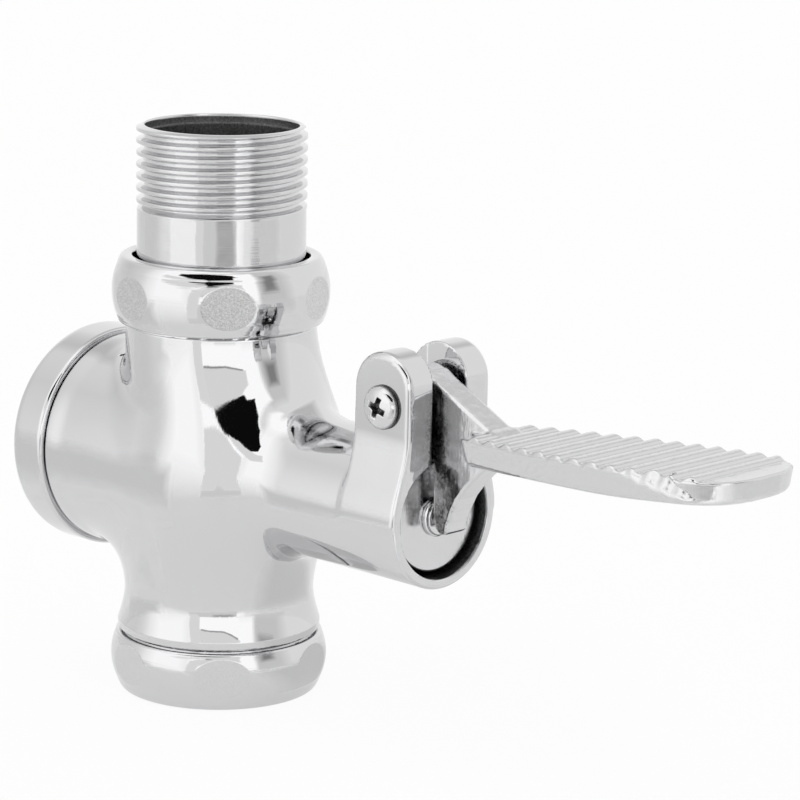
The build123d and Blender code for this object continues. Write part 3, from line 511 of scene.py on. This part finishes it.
flange = np.array([[BORE_R, NIPPLE_FOOT], [18.1, NIPPLE_FOOT], [18.1, 84.0], [17.8, 84.3],
                   [PLAIN_R, 84.3]])
wall_z = np.concatenate([[84.4, 90.0, 94.8], np.arange(THREAD_START, NIPPLE_TOP - 0.2, 0.11)])
rim_z = np.array([NIPPLE_TOP - 0.12, NIPPLE_TOP - 0.03, NIPPLE_TOP])
spin = np.linspace(0, 2 * np.pi, 192, endpoint=False)[:, None]
outer = thread(spin, np.concatenate([wall_z, rim_z])[None, :])
outer[:, -1] -= 0.08      # a narrow slope at the rim's edge
inner = np.array([[15.1, NIPPLE_TOP], [15.0, 111.95], [14.93, 111.8], [14.9, 111.35], [14.9, 110.4],
                  [14.86, 110.3], [BORE_R, 110.2], [BORE_R, 109.9], [BORE_R, 100.0], [BORE_R, 90.0]])
height = np.concatenate([flange[:, 1], wall_z, rim_z, inner[:, 1]])
ones = np.ones_like(spin)
radius = np.concatenate([flange[None, :, 0] * ones, outer, inner[None, :, 0] * ones], axis=1)
nipple_points = np.stack([radius * np.cos(spin), radius * np.sin(spin), height[None] * ones], axis=-1)
# in_bore marks the unpolished bore; the dark grey that its material gives it is painted shade
in_bore = np.zeros(radius.shape)
in_bore[:, -7:] = 1       # the bore from 0.65 mm under the rim
in_bore[:, 0] = 1
nipple = piece("nipple", "valve", nipple_points.reshape(-1, 3), ring_quads(*radius.shape),
               ["inlet_nipple"], masks={"inside": in_bore})

# %% [markdown]
# ## Cap, cup and button
#
# These three are plain lathe work. Little more than their broken edges and the thin gaps beside them
# shows, so each profile is written corner by corner, with the radius of its broken edge.

# %% Rear cap, plunger cup and button
cap_corners = [(0, -37.5), (22.3, -37.5), (22.3, -28.55), (20.1, -28.55), (20.1, -34.3), (0, -34.3)]
cap_profile = broken(cap_corners, [0, 2.2, 0.95, 0.2, 0.2, 0], 9)
rear_cap = piece("rear_cap_turned", "valve", *turned(cap_profile, 256, "x", BARREL_Z), ["rear_cap"])

cup_corners = [(2.1, 59.0), (10.6, 59.0), (10.6, 48.7), (9.4, 48.7), (9.4, 57.0), (2.1, 57.0)]
cup_profile = broken(cup_corners, [0.1, 0.5, 0.2, 0.2, 0.2, 0.1])
cup = piece("cup", "plunger", *turned(cup_profile, 160, "x", BARREL_Z), ["plunger_cap"])

crown = arc((0.0, 60.6), (1.6, 60.56), (3.1, 60.4), 10)
crown_edge = arc((3.1, 60.4), (3.32, 60.3), (3.4, 60.1), 4)[1:]
flange_and_shank = [(3.4, 59.75), (3.5, 59.65), (3.75, 59.6), (3.8, 59.5), (3.8, 59.1), (3.7, 59.0),
                    (2.0, 59.0), (2.0, 50.5), (0, 50.5)]
button_profile = np.concatenate([crown, crown_edge, flange_and_shank])
button = piece("button", "plunger", *turned(button_profile, 96, "x", BARREL_Z), ["plunger_button"])

# %% [markdown]
# ## The pedal
#
# One zinc casting: a boss on the screw, an arm, a toe that pushes the button, and the tread plate with
# its half-round ribs. It is drawn from distances too. The side view is a polygon, whose distance is
# the least distance to any side, negative where the number of crossings is odd.

# %% Distance to a polygon
def polygon(px, pz, corners):
    """Signed distance to a closed polygon, from its sides' nearest points and the even-odd rule."""
    start = np.array(corners, float)
    end = np.roll(start, -1, axis=0)
    least = np.full(np.shape(px), 1e9)
    odd = np.zeros(np.shape(px), bool)
    for (x0, z0), (x1, z1) in zip(start, end):
        dx, dz = x1 - x0, z1 - z0
        share = np.clip(((px - x0) * dx + (pz - z0) * dz) / (dx * dx + dz * dz), 0, 1)
        least = np.minimum(least, np.hypot(px - x0 - share * dx, pz - z0 - share * dz))
        crosses = ((z0 > pz) != (z1 > pz)) & (px < x0 + dx * (pz - z0) / (dz if dz else 1e-9))
        odd ^= crosses
    return np.where(odd, -least, least)


# %% Shape of the pedal, in mm
ARM_HALF, BOSS_R = 2.95, 6.6
# The arm from the side, measured from the pivot
ARM_SIDE = [(3.2, 5.9), (19.3, -2.3), (21.8, -3.3), (19.4, -8.66), (18.0, -10.1), (13.9, -14.0),
            (11.7, -16.7), (10.4, -19.3), (9.4, -21.8), (9.1, -23.4), (8.4, -24.0), (7.3, -24.0),
            (6.2, -23.0), (5.7, -21.6), (5.6, -20.0), (5.6, -9.6), (2.6, -5.9)]
# A point on the plate's top, measured from the pivot, and the slope at which it rises to the front
PLATE_X, PLATE_Z, PLATE_TILT = 24.9, -3.06, np.arctan(0.06)
TREAD_START, TREAD_END, TREAD_HALF, TREAD_T = 15.6, 81.2, 12.7, 5.0
TREAD_REAR_HALF, TREAD_CURVE, TREAD_CORNER, REAR_CORNER = 7.4, 51.6, 10.5, 2.0
RIB_START, RIB_PITCH, RIBS, RIB_R, RIB_H = 20.1, 4.48, 13, 1.9, 0.75
KNOCK_START, KNOCK_END, KNOCK_RIPPLE = 57.5, 70.0, 0.16


def tread_half(x):
    """Half width of the plate: 7.4 at its rear end, on a curve to 12.7 where its sides get straight."""
    share = np.clip((x - TREAD_START) / TREAD_CURVE, 0, 1)
    return TREAD_REAR_HALF + (TREAD_HALF - TREAD_REAR_HALF) * np.sin(share * np.pi / 2) ** 1.05


def pedal_field(x, y, z):
    """Boss, arm and plate joined, as they stand at rest.

    tx runs along the plate and tz up from its top. The plate's walls lean in downwards, and it thins
    by 0.9 mm to the front. Its edge on the -Y side is knocked off between two planes, with a ripple.
    """
    px, pz, side = x - PIVOT_X, z - PIVOT_Z, np.abs(y)
    arm = cut(polygon(px, pz, ARM_SIDE), side - ARM_HALF, 0.7)
    boss = cut(np.hypot(px, pz) - BOSS_R, side - ARM_HALF, 0.7)
    tx = (px - PLATE_X) * np.cos(PLATE_TILT) + (pz - PLATE_Z) * np.sin(PLATE_TILT) + PLATE_X
    tz = -(px - PLATE_X) * np.sin(PLATE_TILT) + (pz - PLATE_Z) * np.cos(PLATE_TILT)
    plan = cut(side - tread_half(tx), tx - TREAD_END, TREAD_CORNER)
    plan = cut(plan, TREAD_START - tx, REAR_CORNER)
    wall = plan * 0.99 + np.maximum(-tz, 0) * 0.14
    nearest = np.clip(np.round((tx - RIB_START) / RIB_PITCH), 0, RIBS - 1)
    off = tx - RIB_START - nearest * RIB_PITCH
    rib = np.sqrt(off * off + (tz + RIB_R - RIB_H) ** 2) - RIB_R
    thin = TREAD_T + 0.2 - 0.9 * ease((tx - 50) / 30)
    slab = cut(cut(wall, tz, 0.5), -thin - tz, 1.3)
    ribs = cut(cut(rib, plan + 0.15, 0.5), -0.5 - tz, 0.2)
    knock = 0.14 * (tx - KNOCK_START) - 0.88 * (y + TREAD_HALF) + 0.46 * tz
    knock = np.minimum(knock, 0.35 * (KNOCK_END - tx) - 0.5 * tz)
    ripple = KNOCK_RIPPLE * np.sin(1.3 * tx + 0.9 * tz) * np.sin(1.0 * tz - 0.6 * tx + 0.4)
    plate = cut(join(slab, ribs, 0.35), knock + ripple, 0.3)
    whole = join(plate, join(arm, boss, 0.6), 0.8)
    return cut(whole, SCREW_R - np.hypot(px, pz), 0.2)


# %% Draw the pedal
pedal_points, pedal_quads, pedal_normals = skin(
    pedal_field,
    stops((46.9, 70.5, 0.4), (70.5, 137.0, 0.42)),
    stops((-13.3, -4.2, 0.5), (-4.2, -2.4, 0.25), (-2.4, 2.4, 0.8), (2.4, 4.2, 0.25), (4.2, 13.3, 0.5)),
    stops((42.5, 58.0, 0.5), (58.0, 75.3, 0.38)))
# The mask below is 1 on the arm's sides as far as the ears cover them, and on the rear of its lower
# end. The dark colour that it brings there is painted shade.
ahead, above = pedal_points[:, 0] - PIVOT_X, pedal_points[:, 2] - PIVOT_Z
beside = np.abs(pedal_points[:, 1]) - ARM_HALF
on_side = ease((beside + 0.6) / 0.4) * ease((0.5 - beside) / 0.4)
on_side = on_side * (1 - ease((ahead - 7.0 + 0.1 * above) / 3.5))
behind = ease(6.9 - ahead) * ease((-7 - above) / 2)
pedal = piece("pedal_cast", "pedal", pedal_points, pedal_quads, ["pedal"], pedal_normals,
              {"unpolished_and_shaded": np.maximum(on_side, behind)})

# %% [markdown]
# ## The pivot screw
#
# A pan-head machine screw with a cross recess. The recess is two crossed wedges that get shallower
# outwards, cut from the domed head.

# %% The screw
SHANK_R, HEAD_R, HEAD_H, HEAD_GAP, DOME = 2.6, 4.2, 2.0, 0.05, 0.055
BAR_HALF, BAR_REACH, BAR_DEPTH, BAR_TURN = 0.62, 2.35, 1.5, np.radians(20)


def screw_field(x, y, z):
    """Shank and pan head along Y; the head is on the -Y side, the recess two crossed tapered bars.

    The head's dome falls by 0.055 times the square of the distance from the axis.
    """
    px, pz = x - PIVOT_X, z - PIVOT_Z
    away, out = np.hypot(px, pz), -EAR_OUT - HEAD_GAP - y
    shank = cut(cut(away - SHANK_R, y - EAR_OUT - HEAD_GAP, 0.3), -EAR_OUT - 1 - y, 0.1)
    head = cut(cut(away - HEAD_R, out - HEAD_H + DOME * away ** 2, 1.1), -out, 0.5)
    one = px * np.cos(BAR_TURN) - pz * np.sin(BAR_TURN)
    two = px * np.sin(BAR_TURN) + pz * np.cos(BAR_TURN)
    depth = HEAD_H - out
    bars = []
    for across, along in ((one, two), (two, one)):
        beside, beyond = np.abs(across) - BAR_HALF, np.abs(along) - BAR_REACH
        bar = np.maximum(beside + depth * 0.12, beyond + depth * 0.75)
        bars.append(np.maximum(bar, depth - BAR_DEPTH))
    return cut(np.minimum(shank, head), -join(*bars, 0.5), 0.18)


screw_points, screw_quads, screw_normals = skin(
    screw_field,
    stops((PIVOT_X - 4.5, PIVOT_X + 4.5, 0.11)),
    stops((-13.1, -10.6, 0.11), (-10.6, 10.5, 1.5), (10.5, 11.1, 0.15)),
    stops((PIVOT_Z - 4.5, PIVOT_Z + 4.5, 0.11)))
# The mask below is 1 from 0.6 mm under the dome, in the cross; the dark grey it brings is painted shade
dome = HEAD_H - DOME * np.sum((screw_points[:, [0, 2]] - [PIVOT_X, PIVOT_Z]) ** 2, axis=1)
recess_shade = ease((dome - 0.1 + EAR_OUT + HEAD_GAP + screw_points[:, 1]) / 0.5)
screw = piece("screw", "valve", screw_points, screw_quads, ["pivot_screw"], screw_normals,
              {"recess_shade": recess_shade})

# %% [markdown]
# ## Colours and nodes
#
# Colours are written as the sRGB hex values that a picture editor shows, and one function turns them
# to the linear numbers that a shader adds up. One more function adds a node, sets its properties and
# makes its links. Short ones on top of it make the nodes that come again and again, so each material
# below reads as a list of what it is made of.

# %% Helpers for materials
def linear(hex_colour):
    """sRGB to linear: c / 12.92 near black, else ((c + 0.055) / 1.055) to the power 2.4."""
    shown = np.array([int(hex_colour[k:k + 2], 16) for k in (1, 3, 5)]) / 255
    light = np.where(shown <= 0.04045, shown / 12.92, ((shown + 0.055) / 1.055) ** 2.4)
    return (*light.tolist(), 1.0)


def add(tree, kind, inputs=None, **settings):
    """A new node: settings are properties, inputs are values or sockets, by name or number."""
    made = tree.nodes.new(kind)
    for key, value in settings.items():
        setattr(made, key, value)
    for key, value in (inputs or {}).items():
        if isinstance(value, bpy.types.NodeSocket):
            tree.links.new(value, made.inputs[key])
        else:
            made.inputs[key].default_value = value
    return made


def start_material(name):
    """An empty node material and the input of its output node."""
    made = bpy.data.materials.new(name)
    made.use_nodes = True
    made.node_tree.nodes.clear()
    return made, add(made.node_tree, "ShaderNodeOutputMaterial").inputs[0]


def noise(tree, place, width_mm, detail, rough=0.5):
    """Clouds about width_mm wide. Detail adds finer ones, and rough is how much these count."""
    return add(tree, "ShaderNodeTexNoise", {"Vector": place, "Scale": 1 / (width_mm * MM),
                                            "Detail": detail, "Roughness": rough}).outputs["Fac"]


def bump(tree, height, strength, depth_mm, **under):
    """A normal that a height of up to depth_mm bends. Normal=... puts it on top of another bump."""
    return add(tree, "ShaderNodeBump", {"Height": height, "Strength": strength,
                                        "Distance": depth_mm * MM, **under}).outputs[0]


def carried(tree, value, low, high, to_low=0.0, to_high=1.0):
    """A value carried from low..high to to_low..to_high, and held at its ends."""
    return add(tree, "ShaderNodeMapRange", {"Value": value, "From Min": low, "From Max": high,
                                            "To Min": to_low, "To Max": to_high}).outputs[0]


def two_colours(tree, share, one, two):
    """The first colour where share is 0, the second where it is 1."""
    return add(tree, "ShaderNodeMix", {"Factor": share, "A": linear(one), "B": linear(two)},
               data_type="RGBA").outputs[2]


def surface(tree, colour, rough, normal, metallic=1.0):
    """The shader of all the metals, and of rubber with metallic 0."""
    return add(tree, "ShaderNodeBsdfPrincipled", {"Base Color": colour, "Metallic": metallic,
                                                  "Roughness": rough, "Normal": normal}).outputs[0]


def dress(objects, material):
    """The only material of these objects."""
    for thing in objects:
        thing.data.materials.clear()
        thing.data.materials.append(material)


# %% [markdown]
# ## Polished chrome plate
#
# Bright chrome is a coat of a few micrometres over polished brass. It reflects about two thirds of the
# light in nearly neutral grey, with hardly any blur, so its look is mostly the room around it. What
# makes it real are small things: a slight waviness left by hand polishing, several millimetres across,
# and hairlines. Real hairlines are near 0.05 mm and would be lost here, so they are some 0.3 mm wide.

# %% Polished chrome
def chrome(name, colour="#D6D6D7", rough=0.03, wave_mm=9.0, wave=0.05, line_mm=0.3, line=0.05,
           lay=None):
    """Chrome with waves and hairlines as bump. lay is the axis that a lathe's lines run round, if any.

    Hairlines are noise squeezed along one direction, so its spots become strokes. The same strokes
    make the roughness uneven, from 0.6 to 1.5 times rough. The eye sees reflections that waver.
    """
    made, out = start_material(name)
    tree = made.node_tree
    place = add(tree, "ShaderNodeTexCoord").outputs["Object"]
    squeeze = {None: (1.0, 1.0, 0.15), "z": (0.02, 0.02, 1.0), "x": (1.0, 0.02, 0.02)}[lay]
    strokes = add(tree, "ShaderNodeMapping", {"Vector": place, "Scale": squeeze}).outputs[0]
    lines = noise(tree, strokes, line_mm, 2.0)
    wavy = bump(tree, noise(tree, place, wave_mm, 1.0), wave, 1.0)
    lined = bump(tree, lines, line, 0.05, Normal=wavy)
    uneven = carried(tree, lines, 0.3, 0.7, rough * 0.6, rough * 1.5)
    shader = surface(tree, linear(colour), uneven, lined)
    tree.links.new(shader, out)
    return made, out, shader


# Bright rings of lathe lines round the cap and the button
lathe_chrome = chrome("chrome_on_turned_brass", rough=0.05, wave=0.02, line=0.12, lay="x")[0]
dress([rear_cap, button], lathe_chrome)
# The cup is satin, so that it shows the toe in front of it only as a soft shade
dress([cup], chrome("satin_chrome_on_turned_cup", rough=0.15, wave=0.02, line=0.2)[0])

# %% [markdown]
# ## Where the finish changes on one piece, and where shade is painted
#
# A ground flat on a nut is duller than the round beside it, and the bore of the nipple was never
# polished at all. Both are one piece with one material: the mask from the mesh mixes a second, rougher
# metal in. Its grain is 0.24 to 0.5 mm, coarser than the real grit so that it shows. In the bores, the
# slot, the cross of the screw and the hidden faces of the pedal, the dark grey of this second metal is
# painted shade.

# %% Dull places and painted shade by mask
def dull_and_shade_by_mask(name, mask, colours, dullness, grain_mm, depth, worn=0.0, **polish):
    """Polished chrome, and where the mask is 1 a grainy metal of two mixed colours.

    worn is the share by which patches of it give way to the polished chrome again; they are four
    grains wide and twice as tall as wide. Where the two colours are dark, they are painted shade.
    """
    made, out, bright = chrome(name, **polish)
    tree = made.node_tree
    place = add(tree, "ShaderNodeTexCoord").outputs["Object"]
    grain = noise(tree, place, grain_mm, 3.0, 0.7)
    tint = two_colours(tree, carried(tree, grain, 0.35, 0.65), *colours)
    dull = surface(tree, tint, dullness, bump(tree, grain, depth, 0.1))
    taller = add(tree, "ShaderNodeMapping", {"Vector": place, "Scale": (1.0, 1.0, 0.5)}).outputs[0]
    kept = carried(tree, noise(tree, taller, 4 * grain_mm, 4.0, 0.7), 0.44, 0.56, 1.0, 1 - worn)
    where = add(tree, "ShaderNodeAttribute", attribute_name=mask).outputs["Fac"]
    share = add(tree, "ShaderNodeMath", {0: where, 1: kept}, operation="MULTIPLY").outputs[0]
    mixed = add(tree, "ShaderNodeMixShader", {0: share, 1: bright, 2: dull})
    tree.links.new(mixed.outputs[0], out)
    return made


# The union nut's flats are freshly ground: a pale speckle, blurred beside the bright round
dress([union_nut], dull_and_shade_by_mask(
    "chrome_on_nut_with_ground_flats", "flat", ("#BABABA", "#E0E0E0"), 0.24, 0.24, 0.4,
    rough=0.05, wave=0.04, line=0.25, lay="z"))
# The foot nut's flats are worn nearly smooth: even and pale, hardly any speckle
dress([foot_nut], dull_and_shade_by_mask(
    "chrome_on_nut_with_worn_flats", "flat", ("#D0D0D0", "#D8D8D8"), 0.14, 0.25, 0.04,
    rough=0.05, wave=0.06, line=0.25, lay="z"))
# A grainy, unpolished bore under the shining thread, with painted shade in its dark grey
dress([nipple], dull_and_shade_by_mask(
    "chrome_on_nipple_with_raw_and_shaded_bore", "inside", ("#4E4F4E", "#747574"), 0.5, 0.4, 0.5,
    rough=0.07, wave_mm=4.0, wave=0.06, line=0.2, lay="z"))
# Rough passages inside the mirror of the casting and the lower slot between the ears, darkened with
# painted shade
dress([body], dull_and_shade_by_mask(
    "chrome_on_casting_with_raw_and_shaded_bores", "raw_and_shaded", ("#3A3B3B", "#6A6B6B"), 0.45, 0.5, 0.5))
# Painted shade in the cross of the screw, and small waves on its head
dress([screw], dull_and_shade_by_mask(
    "chrome_on_screw_with_shaded_recess", "recess_shade", ("#3E3E3E", "#7A7A7A"), 0.4, 0.3, 0.5,
    rough=0.08, wave_mm=1.5, wave=0.06))

# %% [markdown]
# ## Chrome on a zinc casting
#
# The pedal is cast, tumbled and plated without much polishing, so the skin of the casting shows through
# the chrome: soft dents about 2 mm across, and strokes of the belt that took off the mould's seam.
# Reflections are blurred and broken up. Where the arm hides between the ears, and on the rear of its
# lower end, it is rougher and takes painted shade: a dark colour with a grain of 0.45 mm, and in it
# patches, 1.8 mm wide, where the polished chrome shows.

# %% Cast chrome
dress([pedal], dull_and_shade_by_mask(
    "chrome_on_zinc_casting", "unpolished_and_shaded", ("#4A4A4A", "#BDBDBD"), 0.3, 0.45, 0.5, 0.8,
    rough=0.15, wave_mm=2.2, wave=0.1, line_mm=0.35, line=0.35))

# %% [markdown]
# ## Hidden works
#
# Brass, steel and rubber parts inside keep their CAD meshes. They show through the mouth of the barrel,
# the bore and the outlet, and when the valve is taken apart. Turned brass is yellow with darker stains,
# drawn steel is grey with darker clouds, and moulded rubber is nearly black, not shiny, with a grain of
# 0.4 mm.

# %% Brass, steel and rubber
def clouded(name, colour, stain, rough, cloud_mm, metallic=1.0):
    """Two colours mixed by clouds of noise, with the same noise as a shallow bump."""
    made, out = start_material(name)
    tree = made.node_tree
    cloud = noise(tree, add(tree, "ShaderNodeTexCoord").outputs["Object"], cloud_mm, 4.0)
    tint = two_colours(tree, cloud, stain, colour)
    tree.links.new(surface(tree, tint, rough, bump(tree, cloud, 0.2, 0.1), metallic), out)
    return made


finishes = {
    "brass": clouded("turned_brass", "#D8B56A", "#9C7A3C", 0.25, 2.5),
    "steel": clouded("drawn_steel", "#B9BBBE", "#8E9195", 0.3, 1.5),
    "rubber": clouded("moulded_rubber", "#2B2B2A", "#1B1B1B", 0.6, 0.4, metallic=0.0)}
slots = {part["node"]: part["material_slot"] for part in frame["record"]["subparts"]}
inner = {name: node for name, node in frame["nodes"].items() if slots.get(name) in finishes}
for name, node in inner.items():
    dress([node], finishes[slots[name]])
print("inner nodes dressed:", len(inner), "of", len(frame["nodes"]))

# %% [markdown]
# ## The room that the chrome shows
#
# A mirror has no look of its own, so a product photographer builds the look from panels around it: a
# soft white one for the broad highlight, greys that give the round shapes an edge, and one dark gap,
# the opening that the lens looks through. The camera here doesn't see the panels, only the metal does.
# Each panel is an outline in azimuth and elevation as seen from the valve. It hangs on a wide sphere,
# and where it would go below the floor, it lies on it.

# %% Panels
MIDDLE_Z, WALL_REACH, PANEL_GAP = 0.05, 1.6, 0.0004      # metres

panel_paint, panel_out = start_material("studio_panel")
tree = panel_paint.node_tree
level = add(tree, "ShaderNodeAttribute", attribute_name="level").outputs["Fac"]
glow = add(tree, "ShaderNodeEmission", {"Strength": level}).outputs[0]
clear = add(tree, "ShaderNodeBsdfTransparent").outputs[0]
cover = add(tree, "ShaderNodeAttribute", attribute_name="cover").outputs["Fac"]
over = add(tree, "ShaderNodeMixShader", {0: cover, 1: clear, 2: glow}).outputs[0]
tree.links.new(over, panel_out)
panel_paint.cycles.emission_sampling = "NONE"
panels = []


def panel(name, outline, level, soft=6.0):
    """A panel whose edge fades over soft degrees; level 1 is as bright as white paper.

    Point (a, e) is middle + t (sin a cos e, -cos a cos e, sin e), with t the wall's reach or, where a
    falling ray meets the floor sooner, the distance to the floor. Later panels lie a little nearer.
    One line of the grid runs where wall and floor meet, so that no panel cuts that corner and hides a
    later one.
    """
    corner = np.array(outline, float)
    low, high = corner.min(0) - soft, corner.max(0) + soft
    lift, step = PANEL_GAP * (len(panels) + 1), np.clip(soft / 5, 0.35, 1.0)
    wall = WALL_REACH - 10 * lift
    bend = -np.degrees(np.arcsin((MIDDLE_Z - lift) / wall))
    first, last = np.floor((low[1] - bend) / step), np.ceil((high[1] - bend) / step)
    az_lines = np.arange(low[0], high[0] + step, step)
    el_lines = bend + step * np.arange(first, last + 1)
    az, el = np.meshgrid(az_lines, el_lines, indexing="ij")
    cover_at = np.clip(0.5 - polygon(az, el, outline) / soft, 0, 1)
    a, e = np.radians(az), np.radians(el)
    way = np.stack([np.sin(a) * np.cos(e), -np.cos(a) * np.cos(e), np.sin(e)], axis=-1)
    fall = (MIDDLE_Z - lift) / np.maximum(-way[..., 2], 1e-6)
    far = np.minimum(wall, np.where(way[..., 2] < 0, fall, WALL_REACH))
    points = (way * far[..., None] + [0, 0, MIDDLE_Z]).reshape(-1, 3)
    index = np.arange(az.size).reshape(az.shape)
    quads = np.stack([index[:-1, :-1], index[1:, :-1], index[1:, 1:], index[:-1, 1:]], axis=-1)
    mesh = bpy.data.meshes.new(name)
    mesh.from_pydata(points.tolist(), [], quads.reshape(-1, 4).tolist())
    set_masks(mesh, {"cover": cover_at, "level": np.full(az.shape, level)})
    made = into_scene(name, mesh)
    made.visible_camera = False
    dress([made], panel_paint)
    panels.append(made)


def span(az0, az1, el0, el1):
    """The four corners of an upright rectangle in azimuth and elevation."""
    return [(az0, el0), (az1, el0), (az1, el1), (az0, el1)]


# Lights and greys all round
panel("softbox_left", span(-38, 16, -9, 66), 1.36, 26)
panel("softbox_above", [(-60, 62), (60, 62), (90, 84), (-90, 84)], 1.4, 10)
panel("grey_left", span(-98, -60, -2, 34), 0.74, 42)
panel("grey_floor_left", span(-76, -28, -24, -6), 0.8, 9)
panel("grey_rear_high", span(-168, -98, 36, 80), 0.68, 14)
panel("grey_right", span(80, 124, -6, 60), 0.78, 16)
panel("grey_floor_right", span(90, 168, -72, -34), 0.74, 20)
panel("dark_right", span(95, 110, 14, 36), 0.3, 8)
panel("white_rim", span(14, 88, -3, 52), 1.4, 5)
panel("grey_card_low", span(13, 66, -20, -3), 0.84, 1.5)
panel("grey_card_core", span(42, 62, -12, -4), 0.42, 8)
panel("white_slit", span(67, 77, -18, -2), 1.4, 1.5)
panel("white_slit_fade", span(74, 86, -18, -2), 1.15, 14)
# Cards round the lens, and the dark gap between them
panel("grey_card_above", [
    (19, 8.8), (37, 11), (52, 12), (72, 17.2), (71, 22.5), (70, 27.4), (59.5, 30.4), (47, 28.2),
    (32.2, 25), (24.5, 22), (17.3, 18.8), (14.7, 15.5), (15.3, 12.6)], 0.95, 0.8)
panel("grey_card_below", [
    (15.5, 19), (13.6, 12), (12.6, 5), (12.5, -16), (23, -16), (24.5, 8), (27, 15), (31, 24.4),
    (24.5, 22)], 0.97, 0.8)
panel("grey_card_left", [
    (32.2, 26), (27, 30), (16, 31.4), (-1, 30.4), (-21, 31.6), (-24, 24), (-8, 22.5), (4, 21),
    (14, 22.5), (24, 24.6)], 0.97, 0.8)
panel("card_edge", [
    (26, 9.2), (37, 10.5), (52, 11.5), (69, 15.8), (69, 16.8), (52, 12.5), (37, 11.5), (26, 10.2)],
    0.3, 0.5)
panel("lens_gap", [
    (31.8, 24.9), (46.7, 28), (61.4, 31.2), (60.4, 35.3), (68.2, 39), (61, 44.7), (51, 49.3),
    (23, 51), (-5.7, 42), (-5.9, 35.7), (8.9, 31.1), (27.2, 29.8), (32.3, 26.5)], 0.005, 0.7)
print("panels:", len(panels))

# %% [markdown]
# ## Floor, world and camera
#
# The floor is pale paper. A share of it is plain white by itself, 0.93 as the camera sees it and 0.6 as
# mirrors see it. The rest takes real light, so a faint, soft shadow stays under the valve. The world is
# an even white dome.

# %% Floor and world
FLOOR_HALF, FLOOR_Z = 6, -0.0002      # metres
WHITE_TO_CAMERA, WHITE_TO_MIRRORS = 0.93, 0.6

SCENE.view_settings.view_transform = "Standard"
floor_mesh = bpy.data.meshes.new("floor")
floor_mesh.from_pydata([(x * FLOOR_HALF, y * FLOOR_HALF, FLOOR_Z) for x, y in span(-1, 1, -1, 1)], [],
                       [(0, 1, 2, 3)])
floor = into_scene("floor", floor_mesh)
paper, paper_out = start_material("pale_paper_floor")
tree = paper.node_tree
ray = add(tree, "ShaderNodeLightPath").outputs
mirrored = add(tree, "ShaderNodeMath", {0: ray["Is Glossy Ray"], 1: ray["Is Transmission Ray"]},
               operation="ADD").outputs[0]
faint = add(tree, "ShaderNodeMath", {0: mirrored, 1: WHITE_TO_MIRRORS},
            operation="MULTIPLY").outputs[0]
share = add(tree, "ShaderNodeMath", {0: ray["Is Camera Ray"], 1: WHITE_TO_CAMERA, 2: faint},
            operation="MULTIPLY_ADD", use_clamp=True).outputs[0]
lit = add(tree, "ShaderNodeBsdfDiffuse", {"Color": linear("#F2F2F2")}).outputs[0]
white = add(tree, "ShaderNodeEmission", {"Color": linear("#FFFFFF"), "Strength": 1.0}).outputs[0]
mixed = add(tree, "ShaderNodeMixShader", {0: share, 1: lit, 2: white}).outputs[0]
tree.links.new(mixed, paper_out)
paper.cycles.emission_sampling = "NONE"
dress([floor], paper)

world = bpy.data.worlds.new("white_dome")
SCENE.world = world
world.use_nodes = True
sky = world.node_tree.nodes["Background"]
sky.inputs["Color"].default_value = linear("#FFFFFF")
sky.inputs["Strength"].default_value = 1.0

# %% [markdown]
# The camera's place and angles were fitted to the round edges of nuts, cap and nipple in the photo. It
# looks along minus back, and roll turns its right and up axes round that line.

# %% Camera
LENS_MM, SENSOR_MM, FARTHEST = 157.23, 36.0, 50.0
CAMERA_PLACE = (0.49091, -0.45549, 0.20666)      # metres
TURN, RISE, ROLL = np.radians([44.13, 12.52, 1.05])

camera_data = bpy.data.cameras.new("camera")
camera_data.lens = LENS_MM
camera_data.sensor_width = SENSOR_MM
camera_data.clip_end = FARTHEST
camera = into_scene("camera", camera_data)
SCENE.camera = camera
back = np.array([np.sin(TURN) * np.cos(RISE), -np.cos(TURN) * np.cos(RISE), np.sin(RISE)])
level_right = np.array([np.cos(TURN), np.sin(TURN), 0.0])
level_up = np.cross(back, level_right)
right = level_right * np.cos(ROLL) + level_up * np.sin(ROLL)
up = level_up * np.cos(ROLL) - level_right * np.sin(ROLL)
turned_to = Matrix(np.stack([right, up, back], axis=1).tolist()).to_4x4()
camera.matrix_world = Matrix.Translation(CAMERA_PLACE) @ turned_to
